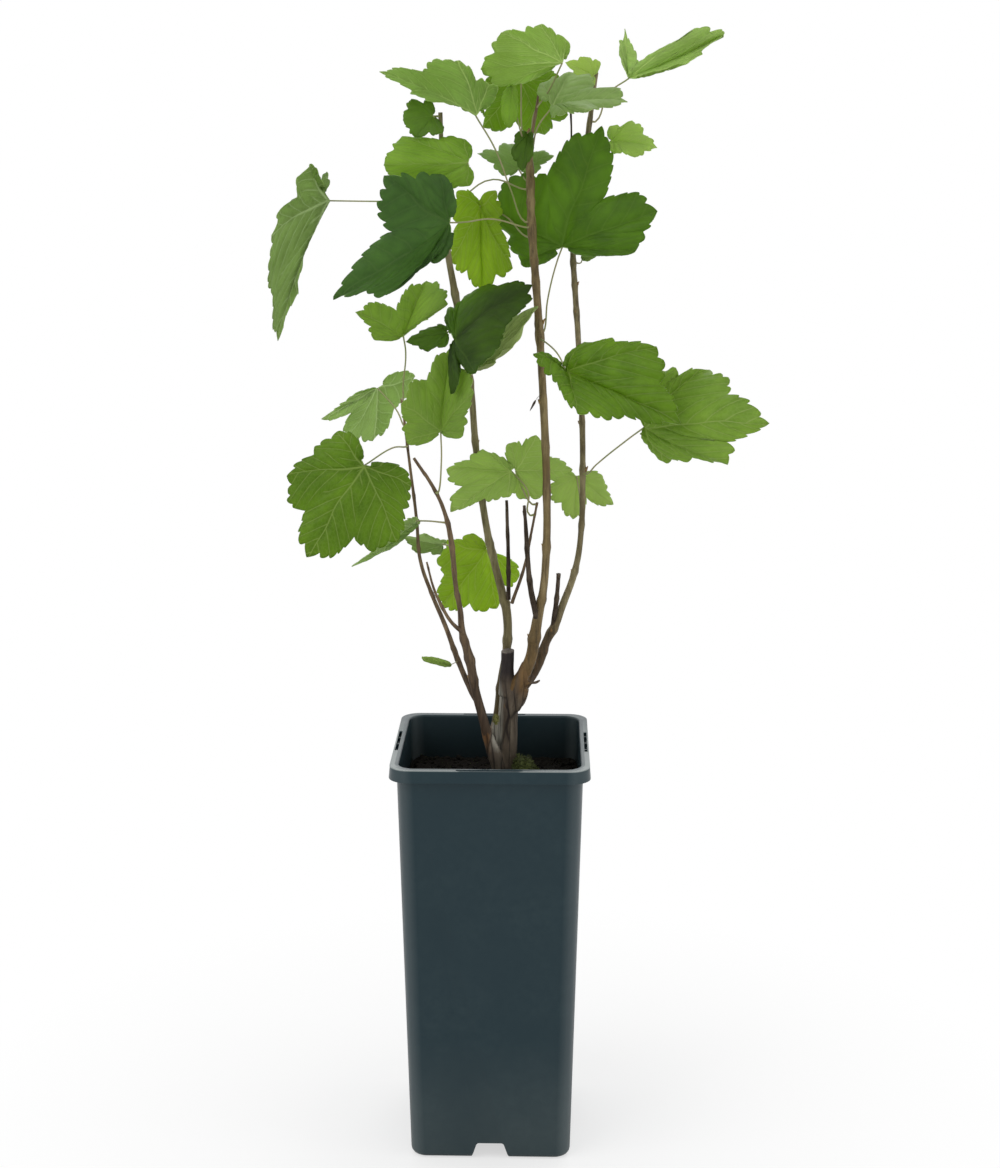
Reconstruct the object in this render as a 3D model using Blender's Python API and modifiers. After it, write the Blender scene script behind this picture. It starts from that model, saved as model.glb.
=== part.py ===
"""A currant bush in a deep square nursery pot: pot, soil, moss, woody stems and leaves, in metres."""

from math import radians

import bmesh
import bpy
from mathutils import Matrix, Vector, noise

MM = 0.001
GAP = 0.3  # mm between pieces that touch

# The pot, in mm
POT_HEIGHT = 234
RIM_HALF = 55
RIM_DROP = 7
RIM_PLATE = 1.5
SKIRT = 1.4
BODY_TOP_HALF = 51
BODY_FOOT_HALF = 45.3
WALL = 1.5
CORNER = 10
FOOT_ROUND = 3.6
FLOOR_TOP = 12
CHANNEL_HEIGHT = 9.5
CHANNEL_FOOT_WIDTH = 22
CHANNEL_ROOF_WIDTH = 15
SLOT_LENGTH = 36
SLOT_WIDTH = 2
DRAIN_RADIUS = 4
DRAIN_OFFSET = 26

# The soil and the moss, in mm
SOIL_TOP = 209
SOIL_LUMP = 1.6
MOSS_CENTRE = (24, -5, 213)
MOSS_SIZE = (12, 9, 13)

# The leaves, in mm
BLADE = 0.5
PETIOLE = 0.75
PETIOLE_SHORT = 1.5  # from a petiole's end to the junction; the blade narrows down to it there
ARCH = 0.05  # rise of a blade between its junction and its margin, as a share of its length
LOBE_PLACES = (-0.78, -0.4, 0, 0.4, 0.78)  # of the five lobes' tips, from one edge of the leaf to the other
PLAIN_SINUS = (0.06, 0.16, 0.16, 0.06)  # depth of the four notches between the lobes
HEEL_TURN = radians(28)
HEEL_END = 0.25  # length of a heel's inner edge, as a share of its lobe
COLUMNS = (-1, -0.9, -0.78, -0.59, -0.4, -0.2, 0, 0.2, 0.4, 0.59, 0.78, 0.9, 1)
ROWS = (0, 0.14, 0.4, 0.7, 1)

COLOURS = {
    "pot": (0.028, 0.045, 0.053),
    "soil": (0.022, 0.015, 0.010),
    "moss": (0.030, 0.040, 0.012),
    "trunk": (0.062, 0.054, 0.046),
    "bark": (0.120, 0.085, 0.042),
    "dead": (0.022, 0.020, 0.015),
    "dark": (0.030, 0.085, 0.014),
    "blue": (0.035, 0.090, 0.030),
    "mid": (0.090, 0.200, 0.020),
    "light": (0.170, 0.300, 0.050),
    "yellow": (0.200, 0.320, 0.020),
    "grey": (0.150, 0.240, 0.090),
    "pale": (0.190, 0.300, 0.110),
}
ROUGHNESS = {"pot": 0.45, "soil": 0.95, "moss": 0.9, "trunk": 0.85, "bark": 0.6, "dead": 0.8}

# Each stem is a row of points (x, y, z, radius) in mm, from the thick end to the thin one
STEMS = {
    "trunk": [
        (7, 0, 162, 7.0), (7, 0, 199, 7.0), (7, 0, 214, 7.0), (8, 0, 230, 6.0), (9, 0, 249, 5.6),
        (10, 0, 264, 5.4),
    ],
    "stub": [
        (9, -1, 258, 4.2), (8, -2, 273, 3.9), (9, -3, 288, 3.8),
    ],
    "stem_left": [
        (7, -4, 215, 3.4), (2, -6, 227, 3.2), (-2, -7, 239, 2.9), (-5, -9, 251, 2.6),
        (-9, -10, 267, 2.4), (-12, -12, 285, 2.6), (-16, -13, 301, 1.9), (-17, -15, 314, 1.5),
        (-19, -15, 325, 1.3), (-22, -18, 356, 1.5), (-25, -19, 369, 1.1), (-30, -20, 381, 1.0),
        (-41, -23, 399, 0.8),
    ],
    "stem_left_rear": [
        (-11, -8, 265, 1.7), (-18, -4, 280, 1.5), (-26, 0, 301, 1.3), (-33, 3, 317, 1.1),
        (-40, 6, 337, 1.0), (-42, 9, 359, 0.9), (-46, 12, 392, 0.8), (-48, 14, 408, 0.7),
        (-50, 15, 426, 0.7),
    ],
    "twig_left": [
        (-15, -14, 300, 1.2), (-22, -18, 308, 1.0), (-27, -19, 317, 0.9), (-31, -18, 326, 0.7),
        (-35, -17, 341, 0.5),
    ],
    "stem_middle": [
        (3, 5, 222, 2.4), (1, 9, 235, 2.3), (3, 11, 249, 2.2), (5, 12, 266, 2.3), (8, 12, 284, 2.4),
        (8, 12, 306, 2.5), (5, 12, 319, 2.3), (1, 12, 335, 2.1), (-3, 12, 353, 2.0),
        (-9, 11, 399, 1.8), (-12, 10, 436, 1.8), (-20, 8, 484, 1.9), (-25, 6, 516, 1.6),
        (-27, 3, 579, 1.1),
    ],
    "stem_centre": [
        (10, -2, 255, 4.4), (14, -4, 268, 4.0), (19, -5, 277, 3.6), (22, -6, 285, 3.2),
        (24, -7, 298, 3.1), (26, -7, 310, 2.7), (28, -8, 320, 2.2), (30, -8, 343, 2.1),
        (30, -8, 385, 2.1), (28, -4, 428, 2.1), (26, 3, 460, 2.1), (24, 9, 486, 2.1),
        (21, 18, 523, 2.1), (20, 24, 552, 2.0), (18, 28, 569, 1.8),
    ],
    "stem_right": [
        (11, 4, 258, 2.8), (19, 6, 266, 2.8), (26, 8, 277, 2.6), (30, 9, 289, 2.4), (35, 9, 299, 2.4),
        (39, 9, 310, 2.1), (46, 10, 330, 1.8), (49, 11, 348, 1.6), (50, 14, 387, 1.6),
        (49, 20, 425, 1.6), (47, 26, 459, 1.6), (45, 32, 487, 1.6), (44, 37, 506, 1.6),
        (48, 42, 541, 1.6), (52, 46, 570, 1.5), (56, 50, 601, 1.0),
    ],
    "twig_middle_dead": [
        (9, 10, 314, 1.3), (9, 8, 337, 1.1), (8, 6, 371, 0.8),
    ],
    "twig_middle": [
        (11, 9, 312, 1.0), (18, 5, 334, 0.8), (22, 2, 355, 0.7), (25, 0, 371, 0.6),
    ],
    "twig_centre_dead": [
        (25, -8, 308, 1.8), (22, -11, 323, 1.6), (20, -13, 341, 1.4), (19, -14, 358, 1.1),
        (18, -15, 372, 0.8),
    ],
    "twig_right_dead": [
        (34, 9, 298, 1.5), (36, 4, 316, 1.3), (37, 0, 331, 1.0),
    ],
}
# The stems that each stem grows from or stands against
PARENTS = {
    "stem_left": ["trunk"],
    "stem_left_rear": ["stem_left"],
    "twig_left": ["stem_left", "stem_left_rear"],
    "stem_middle": ["trunk", "stub"],
    "stem_centre": ["trunk", "stub"],
    "stem_right": ["trunk", "stub", "stem_centre"],
    "twig_middle_dead": ["stem_middle"],
    "twig_middle": ["stem_middle", "twig_middle_dead"],
    "twig_centre_dead": ["stem_centre"],
    "twig_right_dead": ["stem_right"],
}
DEAD = ("twig_middle_dead", "twig_centre_dead", "twig_right_dead")

# Each leaf: the stem it grows on, the height of its foot there and the bends of its petiole, then the
# junction of petiole and blade, and the tips of the five lobes from the left base lobe to the right one,
# seen from above with the tip ahead, all in mm
LEAVES = {
    "leaf_crown_left": dict(
        stem="stem_centre", height=522, bends=[(10, 10, 539), (2, 2, 560)], junction=(-8, -4, 577),
        lobes=[(0, -20, 593), (-15, -36, 603), (-58, -10, 598), (-34, 22, 585), (-13, 18, 581)],
        sinus=(0.06, -0.04, 0, 0.06), tone="mid"),
    "leaf_crown_top": dict(
        stem="stem_centre", height=565, bends=[(19, 18, 576)], junction=(21, 14, 589),
        lobes=[(37, 4, 599), (40, -4, 610), (29, 0, 624), (4, 4, 618), (-6, 16, 598)],
        sinus=(0, -0.08, -0.1, -0.06), heel=(0.7, 1), tone="light"),
    "leaf_crown_right": dict(
        stem="stem_centre", height=559, bends=[(24, 14, 571)], junction=(32, 6, 582),
        lobes=[(34, 26, 593), (60, 30, 595), (72, -10, 584), (51, -38, 578), (39, -16, 578)],
        tone="grey"),
    "leaf_crown_small": dict(
        stem="stem_right", height=596, junction=(54, 46, 599),
        lobes=[(53, 40, 593), (43, 36, 597), (38, 40, 607), (51, 48, 609), (58, 50, 605)],
        sinus=(0.06, 0.05, 0.05, 0.06), tone="yellow"),
    "leaf_top_right": dict(
        stem="stem_right", height=575, bends=[(63, 52, 590)], junction=(74, 54, 598),
        lobes=[(70, 66, 617), (72, 70, 626), (126, 62, 622), (109, 38, 608), (87, 46, 602)],
        sinus=(0, 0.6, -0.05, 0), heel=(0.3, 0.6), tone="mid"),
    "leaf_upper_right_small": dict(
        stem="stem_right", height=554, bends=[(57, 32, 561)], junction=(64, 26, 564),
        lobes=[(64, 26, 572), (75, 26, 575), (88, 14, 561), (76, 10, 556), (66, 16, 558)],
        sinus=(0.06, -0.08, -0.08, 0.06), tone="light"),
    "leaf_upper_right": dict(
        stem="stem_centre", height=463, bends=[(30, 12, 480), (35, 24, 500)], junction=(38, 28, 508),
        lobes=[(15, 28, 500), (-2, 38, 529), (59, 18, 572), (88, 2, 528), (77, 6, 507)],
        sinus=(-0.04, -0.03, 0.3, -0.08), heel=(0.8, 0.3), tone="dark"),
    "leaf_crown_front": dict(
        stem="stem_centre", height=560, junction=(19, 18, 568),
        lobes=[(22, 14, 566), (22, 12, 557), (16, 6, 548), (10, 10, 558), (12, 14, 566)],
        sinus=(0.06, -0.05, -0.05, 0.06), tone="dark"),
    "leaf_crown_back": dict(
        stem="stem_centre", height=543, junction=(14, 38, 549),
        lobes=[(4, 36, 547), (-9, 44, 558), (10, 55, 563), (33, 44, 556), (24, 37, 548)],
        sinus=(0.06, 0.02, 0.02, 0.06), tone="grey"),
    "leaf_crown_lower": dict(
        stem="stem_centre", height=567, junction=(15, 34, 580),
        lobes=[(36, 38, 585), (40, 46, 577), (28, 56, 569), (-5, 46, 573), (3, 38, 580)],
        sinus=(0.06, 0.04, 0.1, 0.06), tone="mid"),
    "leaf_left_top": dict(
        stem="stem_middle", height=577, junction=(-31, 0, 577),
        lobes=[(-26, -6, 568), (-40, -6, 566), (-46, -8, 575), (-42, 0, 586), (-32, 4, 584)],
        sinus=(0.06, -0.1, -0.1, 0.06), tone="dark"),
    "leaf_upper_left_folded": dict(
        stem="stem_middle", height=539, bends=[(-17, -6, 545)], junction=(-12, -8, 553),
        lobes=[(-12, -6, 542), (-47, -4, 539), (-56, -14, 552), (-47, -2, 567), (-14, -2, 565)],
        sinus=(0.06, -0.08, -0.08, 0.06), tone="light"),
    "leaf_upper_left": dict(
        stem="stem_centre", height=519, bends=[(1, -4, 524), (-15, -24, 523)], junction=(-21, -28, 523),
        lobes=[(-31, -22, 503), (-54, -12, 486), (-81, -40, 485), (-54, -36, 547), (-26, -34, 548)],
        sinus=(-0.03, 0, 0.3, -0.12), heel=(0.8, 0.9), tone="blue"),
    "leaf_far_left": dict(
        stem="stem_centre", height=539, bends=[(0, 34, 544), (-23, 54, 532), (-66, 80, 531)],
        junction=(-96, 92, 531),
        lobes=[(-107, 80, 552), (-125, 62, 512), (-129, 108, 448), (-111, 124, 494), (-97, 104, 547)],
        sinus=(0.05, -0.2, 0, 0.3), heel=(0.25, 0.3), tone="pale"),
    "leaf_upper_hanging": dict(
        stem="stem_centre", height=514, bends=[(6, 28, 525)], junction=(-7, 30, 529),
        lobes=[(2, 28, 538), (11, 16, 497), (-6, 24, 484), (-23, 14, 501), (-20, 28, 537)],
        sinus=(0.1, -0.03, -0.03, 0.02), tone="yellow"),
    "leaf_mid_left": dict(
        stem="stem_left_rear", height=426, bends=[(-49, 12, 433), (-47, 8, 452)], junction=(-48, 6, 461),
        lobes=[(-64, -2, 461), (-73, -2, 475), (-36, 20, 490), (-23, -2, 479), (-39, 0, 468)],
        sinus=(0.06, 0.25, -0.2, 0.06), heel=(0.5, 0.25), tone="light"),
    "leaf_middle": dict(
        stem="stem_middle", height=459, junction=(-19, -22, 462),
        lobes=[(-24, -4, 474), (-15, 6, 483), (22, -18, 491), (-7, -52, 448), (-18, -42, 436)],
        sinus=(0, -0.14, -0.16, 0.35), heel=(0.25, 0.6), tone="dark"),
    "leaf_middle_small": dict(
        stem="stem_middle", height=466, junction=(-24, -4, 464),
        lobes=[(-26, -9, 457), (-34, -16, 455), (-45, -20, 461), (-34, -6, 467), (-27, -1, 468)],
        sinus=(0.06, -0.05, -0.05, 0.06), tone="dark"),
    "leaf_middle_front": dict(
        stem="stem_left", height=380, bends=[(-26, -28, 398)], junction=(-26, -32, 415),
        lobes=[(-44, -38, 411), (-46, -46, 431), (-21, -19, 458), (-8, -46, 437), (-14, -38, 414)],
        sinus=(-0.03, -0.03, -0.12, -0.02), tone="mid"),
    "leaf_left_pale": dict(
        stem="stem_left_rear", height=411, bends=[(-55, 34, 418)], junction=(-66, 46, 428),
        lobes=[(-83, 60, 421), (-101, 64, 408), (-85, 54, 398), (-69, 44, 398), (-45, 52, 434)],
        sinus=(0, 0.3, -0.04, -0.14), heel=(0.25, 1), tone="pale"),
    "leaf_lower_left": dict(
        stem="stem_left_rear", height=400, bends=[(-54, -8, 402)], junction=(-67, -30, 396),
        lobes=[(-42, -28, 385), (-49, -36, 356), (-97, -44, 349), (-108, -30, 390), (-82, -26, 413)],
        sinus=(-0.05, 0.02, -0.02, -0.1), tone="mid"),
    "leaf_lower_left_narrow": dict(
        stem="stem_left", height=363, bends=[(-33, -14, 363)], junction=(-41, -8, 362),
        lobes=[(-51, 10, 356), (-65, 20, 345), (-78, 2, 334), (-58, -20, 349), (-47, -14, 358)],
        tone="grey"),
    "leaf_lower_left_pale": dict(
        stem="stem_left", height=349, junction=(-28, 12, 345),
        lobes=[(-27, 19, 346), (-39, 26, 348), (-50, 16, 348), (-42, 10, 340), (-30, 9, 340)],
        sinus=(0.06, 0, -0.05, 0.06), tone="pale"),
    "leaf_lower_middle": dict(
        stem="stem_middle", height=340, junction=(-3, 30, 338),
        lobes=[(14, 30, 322), (2, 30, 304), (-31, 40, 301), (-27, 34, 343), (-13, 30, 347)],
        sinus=(0.06, -0.02, -0.08, 0.06), tone="mid"),
    "leaf_centre_left": dict(
        stem="twig_middle", height=364, bends=[(20, 0, 377)], junction=(11, 1, 388),
        lobes=[(8, -6, 375), (-22, -14, 368), (-25, 2, 389), (-5, 4, 400), (8, 4, 394)],
        sinus=(0.06, 0.12, 0, 0.06), tone="light"),
    "leaf_centre_right": dict(
        stem="twig_middle", height=370, junction=(15, 4, 388),
        lobes=[(10, 6, 403), (24, 8, 407), (44, 14, 387), (26, 6, 372), (17, 4, 372)],
        sinus=(0.06, 0.1, 0.2, 0.06), tone="light"),
    "leaf_right_back": dict(
        stem="stem_right", height=370, junction=(47, 34, 380),
        lobes=[(62, 34, 379), (68, 34, 364), (45, 36, 355), (31, 30, 373), (33, 30, 381)],
        sinus=(-0.05, 0.3, -0.1, 0), tone="light"),
    "leaf_right": dict(
        stem="stem_centre", height=460, bends=[(35, -28, 456)], junction=(40, -55, 449),
        lobes=[(49, -50, 464), (84, -78, 465), (96, -98, 428), (47, -82, 430), (23, -50, 457)],
        sinus=(-0.08, -0.02, -0.03, -0.12), heel=(0.7, 0.3), tone="mid"),
    "leaf_far_right": dict(
        stem="stem_right", height=385, bends=[(57, 0, 392), (72, -36, 411)], junction=(80, -58, 421),
        lobes=[(90, -58, 450), (111, -68, 453), (137, -120, 432), (119, -102, 409), (94, -70, 407)],
        sinus=(0, -0.02, 0.1, 0), tone="light"),
    "leaf_base_left": dict(
        stem="stem_left", height=271, bends=[(-18, -16, 281)], junction=(-21, -16, 283),
        lobes=[(-22, -13, 279), (-29, -14, 280), (-36, -20, 288), (-28, -22, 290), (-20, -19, 287)],
        tone="mid"),
    "leaf_bud_right": dict(
        stem="stem_right", height=499, junction=(49, 34, 501),
        lobes=[(48, 36, 504), (53, 34, 508), (59, 30, 508), (59, 28, 502), (51, 32, 498)],
        tone="pale"),
}


def clear_scene():
    for thing in list(bpy.data.objects):
        bpy.data.objects.remove(thing)


def new_collection(name):
    collection = bpy.data.collections.new(name)
    bpy.context.scene.collection.children.link(collection)
    return collection


def finish_material(name, colour, roughness):
    material = bpy.data.materials.new(name)
    material.use_nodes = True
    shader = material.node_tree.nodes["Principled BSDF"]
    shader.inputs["Base Color"].default_value = (*colour, 1)
    shader.inputs["Roughness"].default_value = roughness
    return material


def add_piece(name, mesh, tone):
    piece = bpy.data.objects.new(name, mesh)
    mesh.materials.clear()
    mesh.materials.append(finish_material(name, COLOURS[tone], ROUGHNESS.get(tone, 0.5)))
    PLANT.objects.link(piece)
    return piece


def add_cutter(name, mesh):
    cutter = bpy.data.objects.new(name, mesh)
    cutter.hide_render = True
    cutter.display_type = "WIRE"
    CUTTERS.objects.link(cutter)
    return cutter


def combine(piece, other, operation):
    boolean = piece.modifiers.new(other.name, "BOOLEAN")
    boolean.operation = operation
    boolean.object = other


def finish_mesh(name, builder):
    mesh = bpy.data.meshes.new(name)
    bmesh.ops.recalc_face_normals(builder, faces=builder.faces[:])
    if builder.calc_volume(signed=True) < 0:
        bmesh.ops.reverse_faces(builder, faces=builder.faces[:])
    builder.to_mesh(mesh)
    builder.free()
    mesh.update()
    return mesh


def settled_mesh(guide):
    """The mesh that a curve or a modified sheet comes to. The guide itself goes."""
    bpy.context.scene.collection.objects.link(guide)
    bpy.context.view_layer.update()
    shape = guide.evaluated_get(bpy.context.evaluated_depsgraph_get())
    mesh = bpy.data.meshes.new_from_object(shape)
    bpy.data.objects.remove(guide)
    return mesh


# Pot


def tapered_block(name, foot, top, half_foot, half_top, corner):
    """A square block between two heights, with rounded upright edges; the sides lean with the taper."""
    builder = bmesh.new()
    bmesh.ops.create_cube(builder, size=2)
    upright = [e for e in builder.edges if abs(e.verts[0].co.z - e.verts[1].co.z) > 1]
    bmesh.ops.bevel(
        builder, geom=upright, offset=corner / half_top, segments=4, profile=0.5, affect="EDGES"
    )
    for vert in builder.verts:
        high = vert.co.z > 0
        half = half_top if high else half_foot
        vert.co = Vector((vert.co.x * half, vert.co.y * half, top if high else foot)) * MM
    return finish_mesh(name, builder)


def channel_block(name, along_y):
    """The cutter of one drain channel under the pot, narrower at its roof."""
    builder = bmesh.new()
    bmesh.ops.create_cube(builder, size=2)
    for vert in builder.verts:
        high = vert.co.z > 0
        half = (CHANNEL_ROOF_WIDTH if high else CHANNEL_FOOT_WIDTH) / 2
        across = vert.co.y * half
        along = vert.co.x * (RIM_HALF + 5)
        height = CHANNEL_HEIGHT if high else -1
        vert.co = Vector((across, along, height) if along_y else (along, across, height)) * MM
    return add_cutter(name, finish_mesh(name, builder))


def box(name, centre, size):
    builder = bmesh.new()
    bmesh.ops.create_cube(builder, size=1)
    for vert in builder.verts:
        vert.co = Vector(c + v * s for c, v, s in zip(centre, vert.co, size)) * MM
    return add_cutter(name, finish_mesh(name, builder))


def round_hole(name, x, y):
    builder = bmesh.new()
    place = Matrix.Translation(Vector((x, y, FLOOR_TOP)) * MM)
    radius = DRAIN_RADIUS * MM
    bmesh.ops.create_cone(
        builder, cap_ends=True, segments=16, radius1=radius, radius2=radius, depth=10 * MM, matrix=place
    )
    return add_cutter(name, finish_mesh(name, builder))


def round_foot(mesh):
    """Rounds the lower edge of the pot's body."""
    builder = bmesh.new()
    builder.from_mesh(mesh)
    foot = [edge for edge in builder.edges if max(vert.co.z for vert in edge.verts) < 0.1 * MM]
    bmesh.ops.bevel(
        builder, geom=foot, offset=FOOT_ROUND * MM, segments=3, profile=0.5, affect="EDGES"
    )
    return finish_mesh(mesh.name, builder)


def half_at(height):
    """Half the width of the pot's body at a height, in mm."""
    return BODY_FOOT_HALF + (BODY_TOP_HALF - BODY_FOOT_HALF) * height / POT_HEIGHT


def make_pot():
    body = tapered_block("pot", 0, POT_HEIGHT, BODY_FOOT_HALF, BODY_TOP_HALF, CORNER)
    pot = add_piece("pot", round_foot(body), "pot")
    rim_foot = POT_HEIGHT - RIM_DROP
    rim = tapered_block("rim_block", rim_foot, POT_HEIGHT, RIM_HALF, RIM_HALF - 0.5, CORNER + 2)
    combine(pot, add_cutter("rim_block", rim), "UNION")
    groove_roof = POT_HEIGHT - RIM_PLATE
    groove_half = RIM_HALF - SKIRT
    groove = tapered_block("rim_groove", rim_foot - 2, groove_roof, groove_half, groove_half - 0.5, CORNER)
    groove_cutter = add_cutter("rim_groove", groove)
    core_halves = (half_at(rim_foot - 3) - 0.05, half_at(POT_HEIGHT) - 0.05)
    core = tapered_block("rim_groove_core", rim_foot - 3, POT_HEIGHT, *core_halves, CORNER)
    combine(groove_cutter, add_cutter("rim_groove_core", core), "DIFFERENCE")
    combine(pot, groove_cutter, "DIFFERENCE")
    over = POT_HEIGHT + 4
    halves = (half_at(FLOOR_TOP) - WALL, half_at(over) - WALL)
    inside = tapered_block("pot_inside", FLOOR_TOP, over, *halves, CORNER - WALL)
    combine(pot, add_cutter("pot_inside", inside), "DIFFERENCE")
    combine(pot, channel_block("channel_x", False), "DIFFERENCE")
    combine(pot, channel_block("channel_y", True), "DIFFERENCE")
    slot_place = (half_at(POT_HEIGHT) + groove_half) / 2
    for x, y in ((1, 0), (-1, 0), (0, 1), (0, -1)):
        size = (SLOT_WIDTH if x else SLOT_LENGTH, SLOT_WIDTH if y else SLOT_LENGTH, 6)
        slot = box("rim_slot", (x * slot_place, y * slot_place, POT_HEIGHT), size)
        combine(pot, slot, "DIFFERENCE")
        combine(pot, round_hole("drain_hole", x * DRAIN_OFFSET, y * DRAIN_OFFSET), "DIFFERENCE")


# Soil and moss


def lump(place, size, strength):
    return noise.noise(Vector(place) / size) * strength


def soil_mesh(name, lift):
    """The soil's block; its top is a fan of rings with small lumps. A lift raises it all."""
    foot = FLOOR_TOP + GAP
    half_foot = half_at(foot) - WALL - GAP
    half_top = half_at(SOIL_TOP) - WALL - GAP
    mesh = tapered_block(name, foot, SOIL_TOP, half_foot, half_top, CORNER - WALL)
    builder = bmesh.new()
    builder.from_mesh(mesh)
    top = max(builder.faces, key=lambda face: face.calc_center_median().z)
    for share in (0.82, 0.76, 0.68, 0.5):
        top = bmesh.ops.extrude_discrete_faces(builder, faces=[top])["faces"][0]
        for vert in top.verts:
            x, y = vert.co.x * share, vert.co.y * share
            height = SOIL_TOP * MM + lump((x, y, 0), 12 * MM, SOIL_LUMP * MM)
            vert.co = Vector((x, y, height))
    bmesh.ops.poke(builder, faces=[top])
    bmesh.ops.translate(builder, verts=builder.verts[:], vec=(0, 0, lift * MM))
    bpy.data.meshes.remove(mesh)
    return finish_mesh(name, builder)


def make_soil():
    soil = add_piece("soil_root_ball", soil_mesh("soil_root_ball", 0), "soil")
    combine(soil, SPACES["trunk"], "DIFFERENCE")


def make_moss():
    builder = bmesh.new()
    bmesh.ops.create_icosphere(builder, subdivisions=3, radius=1)
    for vert in builder.verts:
        swell = 1 + lump(vert.co * 10, 5, 0.25)
        vert.co = Vector(c + v * s * swell for c, v, s in zip(MOSS_CENTRE, vert.co, MOSS_SIZE)) * MM
    moss = add_piece("moss_clump", finish_mesh("moss_clump", builder), "moss")
    combine(moss, add_cutter("soil_space", soil_mesh("soil_space", GAP)), "DIFFERENCE")
    combine(moss, SPACES["trunk"], "DIFFERENCE")


# Stems


def tube_mesh(name, points, swell, resolution, sides, capped=True):
    """A tapered tube through points (x, y, z, radius) in mm: a bevelled curve, turned to a mesh."""
    curve = bpy.data.curves.new(name, "CURVE")
    curve.dimensions = "3D"
    curve.bevel_depth = MM
    curve.bevel_resolution = sides // 2 - 2
    curve.resolution_u = resolution
    curve.use_fill_caps = capped
    spline = curve.splines.new("BEZIER")
    spline.bezier_points.add(len(points) - 1)
    for bezier, (x, y, z, radius) in zip(spline.bezier_points, points):
        bezier.co = Vector((x, y, z)) * MM
        bezier.radius = radius + swell
        bezier.handle_left_type = bezier.handle_right_type = "AUTO"
    mesh = settled_mesh(bpy.data.objects.new(name, curve))
    builder = bmesh.new()
    builder.from_mesh(mesh)
    bmesh.ops.remove_doubles(builder, verts=builder.verts[:], dist=0.00001)
    bpy.data.meshes.remove(mesh)
    mesh = finish_mesh(name, builder)
    mesh.shade_smooth()
    return mesh


def stem_space(name):
    """The stem swollen by the gap: what its neighbours keep clear of."""
    return add_cutter(name + "_space", tube_mesh(name + "_space", STEMS[name], GAP, 3, 8))


def make_stems():
    for name in STEMS:
        SPACES[name] = stem_space(name)
    for name, points in STEMS.items():
        if name == "stub":
            continue
        tone = "dead" if name in DEAD else "trunk" if name == "trunk" else "bark"
        stem = add_piece(name, tube_mesh(name, points, 0, 3, 8), tone)
        for parent in PARENTS.get(name, []):
            combine(stem, SPACES[parent], "DIFFERENCE")
        if name == "trunk":
            combine(stem, add_cutter("stub", tube_mesh("stub", STEMS["stub"], 0, 3, 8)), "UNION")


def stem_at(name, height):
    """The centre and the radius of a stem at a height, in mm."""
    points = STEMS[name]
    for (*low, low_radius), (*high, high_radius) in zip(points, points[1:]):
        if low[2] <= height <= high[2]:
            share = (height - low[2]) / (high[2] - low[2])
            centre = Vector(low).lerp(Vector(high), share)
            return centre, low_radius + (high_radius - low_radius) * share
    return Vector(points[-1][:3]), points[-1][3]


# Leaves


def margin_vector(lobes, sinus, heel, across):
    """From the junction to the margin. across runs from -1 at the left heel, by 0 at the tip, to 1."""
    place = abs(across)
    side = 1 if across > 0 else -1
    base, shoulder = lobes[2 + 2 * side], lobes[2 + side]
    if place <= LOBE_PLACES[4]:
        start, end = (lobes[2], shoulder) if place <= LOBE_PLACES[3] else (shoulder, base)
        low, high = (0, LOBE_PLACES[3]) if place <= LOBE_PLACES[3] else LOBE_PLACES[3:]
        share = (place - low) / (high - low)
        notch = (1 - abs(2 * share - 1)) ** 1.6
        inner = place <= LOBE_PLACES[3]
        depth = sinus[(2 if side > 0 else 1) if inner else (3 if side > 0 else 0)]
        return start.lerp(end, share) * (1 - depth * notch)
    share = (place - LOBE_PLACES[4]) / (1 - LOBE_PLACES[4])
    roundness = heel[1 if side > 0 else 0]
    turn = Matrix.Rotation(share * HEEL_TURN * roundness, 3, shoulder.cross(base))
    return turn @ base * (HEEL_END + (1 - HEEL_END) * (1 - share**2) ** 0.75)


def upper_normal(lobes, across):
    """The way that the leaf's upper side faces, blended over the midrib."""
    left = lobes[2].cross(lobes[1]).normalized()
    right = lobes[3].cross(lobes[2]).normalized()
    share = min(max(across / 0.3 + 0.5, 0), 1)
    return left.lerp(right, share).normalized()


def blade_point(leaf, across, along):
    """A point of the blade's middle sheet in mm. along runs from 0 at the junction to 1 at the margin."""
    junction = Vector(leaf["junction"])
    lobes = [Vector(tip) - junction for tip in leaf["lobes"]]
    sinus = leaf.get("sinus", PLAIN_SINUS)
    heel = leaf.get("heel", (1, 1))
    openness = upper_normal(lobes, -1).dot(upper_normal(lobes, 1)) / 2 + 0.5
    rise = ARCH * lobes[2].length * openness * 4 * along * (1 - along)
    lift = upper_normal(lobes, across) * rise
    return junction + margin_vector(lobes, sinus, heel, across) * along + lift


def blade_mesh(name, leaf):
    """One closed blade: a grid bent into a fan round the junction, then thickened."""
    builder = bmesh.new()
    bmesh.ops.create_grid(builder, x_segments=len(COLUMNS) - 1, y_segments=len(ROWS) - 1, size=0.5)
    for vert in builder.verts:
        column = round((vert.co.x + 0.5) * (len(COLUMNS) - 1))
        row = round((vert.co.y + 0.5) * (len(ROWS) - 1))
        vert.co = blade_point(leaf, COLUMNS[column], ROWS[row]) * MM
    bmesh.ops.remove_doubles(builder, verts=builder.verts[:], dist=0.00001)
    sheet = bpy.data.objects.new(name, finish_mesh(name, builder))
    thicken = sheet.modifiers.new("thicken", "SOLIDIFY")
    thicken.thickness = BLADE * MM
    thicken.offset = 0
    return settled_mesh(sheet)


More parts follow.
